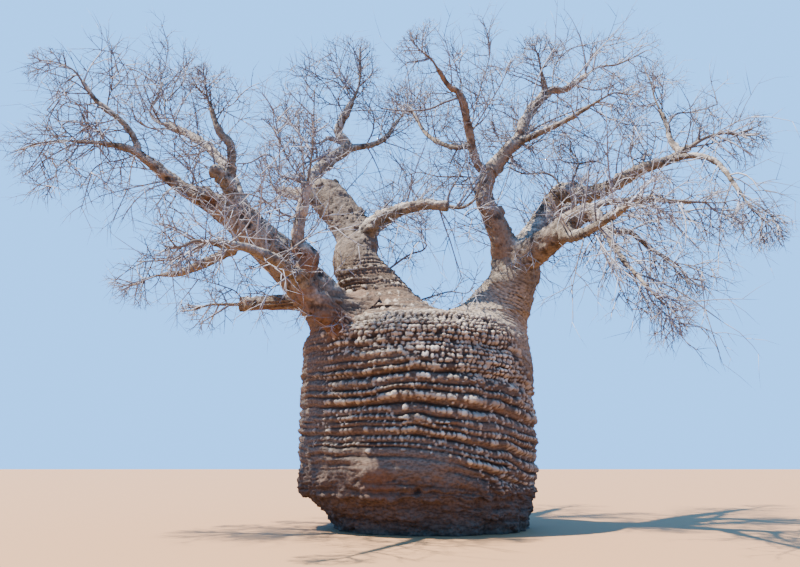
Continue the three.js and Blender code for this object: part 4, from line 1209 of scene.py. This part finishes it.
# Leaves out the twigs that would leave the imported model's box, or go under the ground.
def inBox(twigs):
    low, high = (np.array(corner) for corner in cadBox)
    inside = (twigs["points"] > low + twigRule["inside"]) & (twigs["points"] < high - twigRule["inside"])
    return pick(twigs, inside.all((1, 2)))


# Leaves out the twigs that would touch a limb.
def clearOfLimbs(twigs, room):
    joints = twigs["points"][:, 1:]
    flat = joints.reshape(-1, 3)
    near = np.full(len(flat), farAway)
    for limb in limbs.values():
        if limb["slim"]:
            continue
        low, high = limb["line"].min(0) - .5, limb["line"].max(0) + .5
        some = np.flatnonzero(((flat > low) & (flat < high)).all(1))
        if len(some):
            near[some] = np.minimum(near[some], limbDistance(limb, flat[some]))
    return pick(twigs, (near.reshape(joints.shape[:2]) > room).all(1))


# Each mass: a stem on from its bough's tip, then level on level of side twigs. Each family comes with
# the number of rings for each of its steps, and of sides.
def massTwigs():
    place = np.arange(len(spaceBough))
    onwards = np.array([courseTangent(limbs[name]["joints"], np.array([1.0]))[0] for name in spaceBough])
    start = spaceTip + onwards * twigRule["gap"]
    root = np.minimum(np.array([limbs[name]["tip"] for name in spaceBough]), twigRule["thickest"])
    stems = growTwigs(place, np.ones(len(place), int), start, onwards, twigRule["stemReach"] * spaceReach,
                      root, twigRule["stemSteps"], spaceLift, twigRule["wander"], 0,
                      twigRule["stemPull"], spaceAxis)
    families, older = [(stems, 4, 6)], [stems]
    for row in twigRule["levels"]:
        older.append(clearOfLimbs(sideTwigs(older[-1], readLevel(row)), twigRule["clearance"]))
        families.append((older[-1], 3, 4))
    first, *finer = twigRule["fine"]
    for parents, count in zip(older, twigRule["fineCounts"]):
        side = sideTwigs(parents, readLevel(first, count=count), True, twigRule["fineOffset"])
        parents = clearOfLimbs(side, 0)
        families.append((parents, 1, 3))
        for row in finer:
            parents = sideTwigs(parents, readLevel(row))
            families.append((parents, 1, 3))
    return families


# Shoots along a bough or slim branch: long where the wood is slim, in tufts on thick wood.
def shootsOf(limb, number):
    slim = limb["slim"]
    begin = twigRule["slimShare" if slim else "boughShare"]
    perMetre = twigRule["perMetreSlim" if slim else "perMetre"] * twigRule["denser"].get(limb["family"], 1)
    count = int(limb["length"] * (1 - begin) * perMetre)
    k = np.arange(count)
    place = np.full(count, 100 + number)
    share = begin + (1 - begin) * (k + chance(place, k, 1)) / max(count, 1)
    share = shareAt(limb, share * limb["length"])
    centre, ahead = coursePoint(limb["joints"], share), courseTangent(limb["joints"], share)
    out = outwards(ahead, ahead, (2 * math.pi * chance(place, k, 2))[:, None])
    lift = twigRule["hang"].get(limb["family"], twigRule["shootLift"])
    direction = unit(out + ahead * (.1 + .8 * chance(place, k, 3))[:, None] + np.array([0, 0, .2 + 3 * lift]))
    spread = twigRule["slimLong" if slim else "shootLong"] - twigRule["shootShort"]
    reach = twigRule["shootShort"] + spread * chance(place, k, 4) ** twigRule["shootPower"]
    thick = limbRadius(limb, share)
    reach = reach * (.35 + .65 * smoothStep(.30, .07, thick)) * smoothStep(.50, .36, thick)
    start = centre + out * thick[:, None] * .85
    keep = reach > twigRule["least"]
    return [values[keep] for values in (place, k + 2, start, direction, reach, np.full(count, lift))]


def boughShoots():
    rows = [shootsOf(limb, number) for number, limb in enumerate(limbs.values())
            if not limb["name"].endswith("_stem")]
    place, twigId, start, direction, reach, lift = (np.concatenate(column) for column in zip(*rows))
    root = twigRule["shootRadius"] * (.7 + .7 * reach / twigRule["shootLong"])
    first = growTwigs(place, twigId, start, direction, reach, root, twigRule["shootSteps"], lift,
                      twigRule["shootWander"], twigRule["shootArc"])
    first = inBox(clearOfLimbs(first, 0))
    _, middle, finest = twigRule["fine"]
    second = readLevel(middle, count=twigRule["secondCount"], length=twigRule["secondLength"])
    second = sideTwigs(first, second, False)
    third = sideTwigs(second, readLevel(finest, count=twigRule["thirdCount"]), False)
    return [(first, 1, 3), (second, 1, 3), (third, 1, 3)]


# One of three tints for each spray of twigs, by chance; a mass's stem has the bark's.
def twigTints(family):
    spray = family["twigId"]
    while (spray > 400).any():
        spray = np.where(spray > 400, spray // twigRule["family"], spray)
    tint = (chance(family["place"], spray, 8) * 3).astype(int)
    return np.where(family["twigId"] == 1, 3, tint)


# Tubes that come to a point, along smooth courses, for a whole family of twigs: so many rings for
# each of their steps, so many sides.
def twigTubes(family, finer, sides):
    joints = family["points"]
    count, steps = joints.shape[0], (joints.shape[1] - 1) * finer
    shares = np.linspace(0, 1, steps + 1)
    points = np.stack([batchCourse(joints, np.full(count, s)) for s in shares], 1)
    isStem = family["twigId"][:, None] == 1
    slender = np.array([twigRule["slenderFor"].get(name, twigRule["slender"]) for name in spaceBough])
    slender = slender[np.minimum(family["place"], len(slender) - 1)][:, None]
    girth = family["radii"][:, :1] * np.where(isStem, slender, 1)
    taper = shares[None] ** np.where(isStem, twigRule["stemTaper"], 1)
    radii = girth * (1 - (1 - twigRule["tipGirth"]) * taper)
    corner = 2 * math.pi * np.arange(sides)[:, None] / sides
    tangent, course = unit(np.gradient(points, axis=1)), unit(joints[:, -1] - joints[:, 0])
    ray = outwards(tangent[:, :-1, None], course[:, None, None], corner)
    rings = points[:, :-1, None] + radii[:, :-1, None, None] * ray
    flat = np.concatenate([rings.reshape(count, steps * sides, 3), points[:, -1:]], 1)
    ring = np.arange(steps * sides).reshape(steps, sides)
    turned = np.roll(ring, -1, 1)
    quads = np.stack([ring[:-1], turned[:-1], turned[1:], ring[1:]], -1).reshape(-1, 4)
    tip = np.stack([ring[-1], turned[-1], np.full(sides, steps * sides)], 1)
    foot = np.array([[0, n + 1, n] for n in range(1, sides - 1)])
    ends = np.concatenate([tip, foot])
    base = (np.arange(count) * (steps * sides + 1))[:, None, None]
    tint = twigTints(family)
    return (flat.reshape(-1, 3), (quads[None] + base).reshape(-1, 4), (ends[None] + base).reshape(-1, 3),
            np.repeat(tint, len(quads)), np.repeat(tint, len(ends)))


def addTwigs(name, parts, materials):
    points, quads, triangles, quadTints, triangleTints = joinTubes(parts)
    piece = addMesh(name, points, quads, triangles, {}, materials, np.concatenate([quadTints, triangleTints]))
    print(name + ":", 2 * len(quads) + len(triangles), "triangles")
    return piece


def makeTwigs(materials):
    families = massTwigs()
    masses = [twigTubes(pick(family, family["place"] == place), *fineness)
              for place in range(len(spaceBough)) for family, *fineness in families]
    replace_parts(addTwigs("twigs_1", masses, materials), *["twigs_" + name for name in spaceBough])
    shoots = boughShoots()
    print("shoots:", sum(len(family["place"]) for family, *_ in shoots))
    lots, inPiece = twigRule["lots"], twigRule["lotsInPiece"]
    for first in range(0, lots, inPiece):
        some = [twigTubes(pick(family, family["place"] % lots == lot), *fineness)
                for lot in range(first, first + inPiece) for family, *fineness in shoots]
        addTwigs("shoots_%d" % (first // inPiece + 1), some, materials)


# Finishes

surfaces = {
    "bark": .9, "twig": .8, "floor": .9,  # roughness
    "specular": .22,
    "bump": .012, "bumpStrength": .9,
}


def newTree(name, roughness):
    material = bpy.data.materials.new(name)
    material.use_nodes = True
    tree = material.node_tree
    shader = tree.nodes["Principled BSDF"]
    shader.inputs["Roughness"].default_value = roughness
    shader.inputs["Specular IOR Level"].default_value = surfaces["specular"]
    return material, tree, shader


def attribute(tree, name):
    node = tree.nodes.new("ShaderNodeAttribute")
    node.attribute_name = name
    return node.outputs["Fac"]


# A noise pattern on Object coordinates, stretched by a scale each way, its contrast set by two edges.
def pattern(tree, scale, stretch=(1, 1, 1), detail=4.0, low=.3, high=.7):
    place = tree.nodes.new("ShaderNodeTexCoord")
    mapping = tree.nodes.new("ShaderNodeMapping")
    mapping.inputs["Scale"].default_value = stretch
    texture = tree.nodes.new("ShaderNodeTexNoise")
    texture.inputs["Scale"].default_value = scale
    texture.inputs["Detail"].default_value = detail
    spread = tree.nodes.new("ShaderNodeMapRange")
    spread.inputs["From Min"].default_value = low
    spread.inputs["From Max"].default_value = high
    tree.links.new(place.outputs["Object"], mapping.inputs["Vector"])
    tree.links.new(mapping.outputs["Vector"], texture.inputs["Vector"])
    tree.links.new(texture.outputs["Fac"], spread.inputs["Value"])
    return spread.outputs["Result"]


def combine(tree, operation, a, b):
    node = tree.nodes.new("ShaderNodeMath")
    node.operation = operation
    node.use_clamp = True
    for socket, value in zip(node.inputs, (a, b)):
        if isinstance(value, (int, float)):
            socket.default_value = value
        else:
            tree.links.new(value, socket)
    return node.outputs[0]


def mixed(tree, share, a, b):
    node = tree.nodes.new("ShaderNodeMix")
    node.data_type = "RGBA"
    for socket, value in ((node.inputs[0], share), (node.inputs[6], a), (node.inputs[7], b)):
        if isinstance(value, tuple):
            socket.default_value = (*value, 1)
        elif isinstance(value, (int, float)):
            socket.default_value = value
        else:
            tree.links.new(value, socket)
    return node.outputs[2]


def bumped(tree, shader, height, distance, strength):
    node = tree.nodes.new("ShaderNodeBump")
    node.inputs["Distance"].default_value = distance
    node.inputs["Strength"].default_value = strength
    tree.links.new(height, node.inputs["Height"])
    tree.links.new(node.outputs["Normal"], shader.inputs["Normal"])


barkColours = {
    "grey": (.125, .097, .075), "brown": (.136, .088, .058), "rust": (.142, .080, .048),
    "knob": (.34, .28, .22), "sunPatch": (.80, .69, .56), "dark": (.012, .008, .006),
    "foot": (.088, .056, .040), "scar": (.125, .060, .034), "bare": (.30, .24, .185),
    "limb": (.140, .108, .082), "limbPale": (.38, .33, .28), "under": (.205, .165, .120),
    "torn": (.175, .088, .045), "limbDark": (.030, .021, .016),
}
# scale, stretch each way, detail, and the two edges of the contrast where they aren't .3 and .7
barkPatterns = {
    "patches": (1.6, (1, 1, 1.6)), "grain": (22, (1, 1, 1.8), 6, .44, .62), "face": (5, (1, 1, 3.5), 5),
    "sunPatch": (2.2, (1, 1, 1), 5, .50, .70), "limbPatches": (6.5, (1, 1, 1), 6, .40, .60),
    "limbGrain": (30, (1, 1, 1), 6, .42, .66), "fine": (70, (1, 1, 1.6), 6), "coarse": (22, (1, 1, 2), 5),
}
# how strongly each colour shows
barkShares = {
    "foot": .8, "bare": .85, "grain": .50, "knob": .88, "palest": .2, "under": .8, "limbGrain": .55,
    "red": .85, "crease": .9, "limbCrease": .75, "fine": .5, "coarse": .5,
}


# Lays a colour over another by a pattern or attribute, at a share of its strength.
def laid(tree, base, where, share, colour):
    return mixed(tree, combine(tree, "MULTIPLY", where, share), base, colour)


# Bark's colour: plain patches, rust on the ledges' lower faces, pale knobs with cream patches of painted
# sunlight, and painted shade in the creases and between the knobs.
def barkColour(tree):
    c, share = barkColours, barkShares
    patches, grainy, rusty, sunPatches = (
        pattern(tree, *barkPatterns[key]) for key in ("patches", "grain", "face", "sunPatch"))
    base = mixed(tree, patches, c["grey"], c["brown"])
    base = laid(tree, base, attribute(tree, "face"), rusty, c["rust"])
    base = laid(tree, base, attribute(tree, "low"), share["foot"], c["foot"])
    base = laid(tree, base, attribute(tree, "bare"), share["bare"], c["bare"])
    base = laid(tree, base, grainy, share["grain"], c["dark"])
    knob = attribute(tree, "knob")
    # Knobs get a cream colour in noise patches: painted patches of sunlight on the knob tops.
    pale = laid(tree, c["knob"], knob, sunPatches, c["sunPatch"])
    return laid(tree, base, knob, share["knob"], pale)


def limbColour(tree):
    c, share = barkColours, barkShares
    patches, grainy = (pattern(tree, *barkPatterns[key]) for key in ("limbPatches", "limbGrain"))
    paler = combine(tree, "ADD", patches, share["palest"])
    base = laid(tree, c["limb"], attribute(tree, "pale"), paler, c["limbPale"])
    # Lower sides laid with a paler, warmer colour: partly the limbs' own bark, partly painted warm bounce
    # light from the floor.
    below = combine(tree, "SUBTRACT", 1.0, attribute(tree, "above"))
    base = laid(tree, base, below, share["under"], c["under"])
    return laid(tree, base, grainy, share["limbGrain"], c["limbDark"])


def barkMaterial(name, onTrunk, onLimb):
    c, share = barkColours, barkShares
    material, tree, shader = newTree(name, surfaces["bark"])
    base = barkColour(tree) if onTrunk else limbColour(tree)
    if onTrunk and onLimb:
        base = mixed(tree, attribute(tree, "upper"), base, limbColour(tree))
    base = laid(tree, base, attribute(tree, "red"), share["red"], c["scar" if onTrunk else "torn"])
    # Painted shade: the crease number darkens creases, hollows and the gaps between knobs.
    dark = share["crease" if onTrunk else "limbCrease"]
    base = laid(tree, base, attribute(tree, "crease"), dark, c["dark"])
    tree.links.new(base, shader.inputs["Base Color"])
    fine, coarse = (combine(tree, "MULTIPLY", pattern(tree, *barkPatterns[key]), share[key])
                    for key in ("fine", "coarse"))
    bumped(tree, shader, combine(tree, "ADD", fine, coarse), surfaces["bump"], surfaces["bumpStrength"])
    return material


# Twig tints, one for each spray by chance: a pale grey, then lilac and brown greys that are partly the twigs'
# own greys and partly darker copies standing in for twigs in shade (painted shade); the last is the bark's,
# for a mass's stem. The slim branches wear the brown grey.
twigColours = {
    "twig pale grey": (.255, .25, .275), "twig lilac grey and shade": (.17, .165, .19),
    "twig brown grey and shade": (.11, .10, .105), "twig bark": (.120, .094, .073),
}


def twigMaterials():
    made = []
    for name, colour in twigColours.items():
        material, _, shader = newTree(name, surfaces["twig"])
        shader.inputs["Base Color"].default_value = (*colour, 1)
        made.append(material)
    return made


# Studio

studio = {
    "floorSize": 120.0, "floorColour": (.27, .145, .066), "skyColour": (.15, .45, 1.0), "skyStrength": 2.75,
    "keyFrom": (-.445, -.115, .887), "keyStrength": 26.0, "keyColour": (1.0, .935, .83), "keyAngle": 1.0,
}


def makeStudio():
    size = studio["floorSize"]
    mesh = bpy.data.meshes.new("floor")
    corners = [(-size, -size, 0), (size, -size, 0), (size, size, 0), (-size, size, 0)]
    mesh.from_pydata(corners, [], [(0, 1, 2, 3)])
    floor = bpy.data.objects.new("floor", mesh)
    bpy.context.scene.collection.objects.link(floor)
    material, _, shader = newTree("plain pale floor", surfaces["floor"])
    shader.inputs["Base Color"].default_value = (*studio["floorColour"], 1)
    mesh.materials.append(material)
    world = bpy.data.worlds.new("soft sky")
    world.use_nodes = True
    sky = world.node_tree.nodes["Background"]
    sky.inputs["Color"].default_value = (*studio["skyColour"], 1)
    sky.inputs["Strength"].default_value = studio["skyStrength"]
    bpy.context.scene.world = world
    key = bpy.data.objects.new("key", bpy.data.lights.new("key", "SUN"))
    key.data.energy = studio["keyStrength"]
    key.data.angle = math.radians(studio["keyAngle"])
    key.data.color = studio["keyColour"]
    key.rotation_euler = (-Vector(studio["keyFrom"])).to_track_quat("-Z", "Y").to_euler()
    bpy.context.scene.collection.objects.link(key)


twigFinishes = twigMaterials()
makeStudio()
makeTrunk(barkMaterial("creased trunk bark", True, False))
makeLimbs(barkMaterial("stem bark", True, True), barkMaterial("rough bough bark", False, True))
makeSlim(twigFinishes[2])
makeTwigs(twigFinishes)
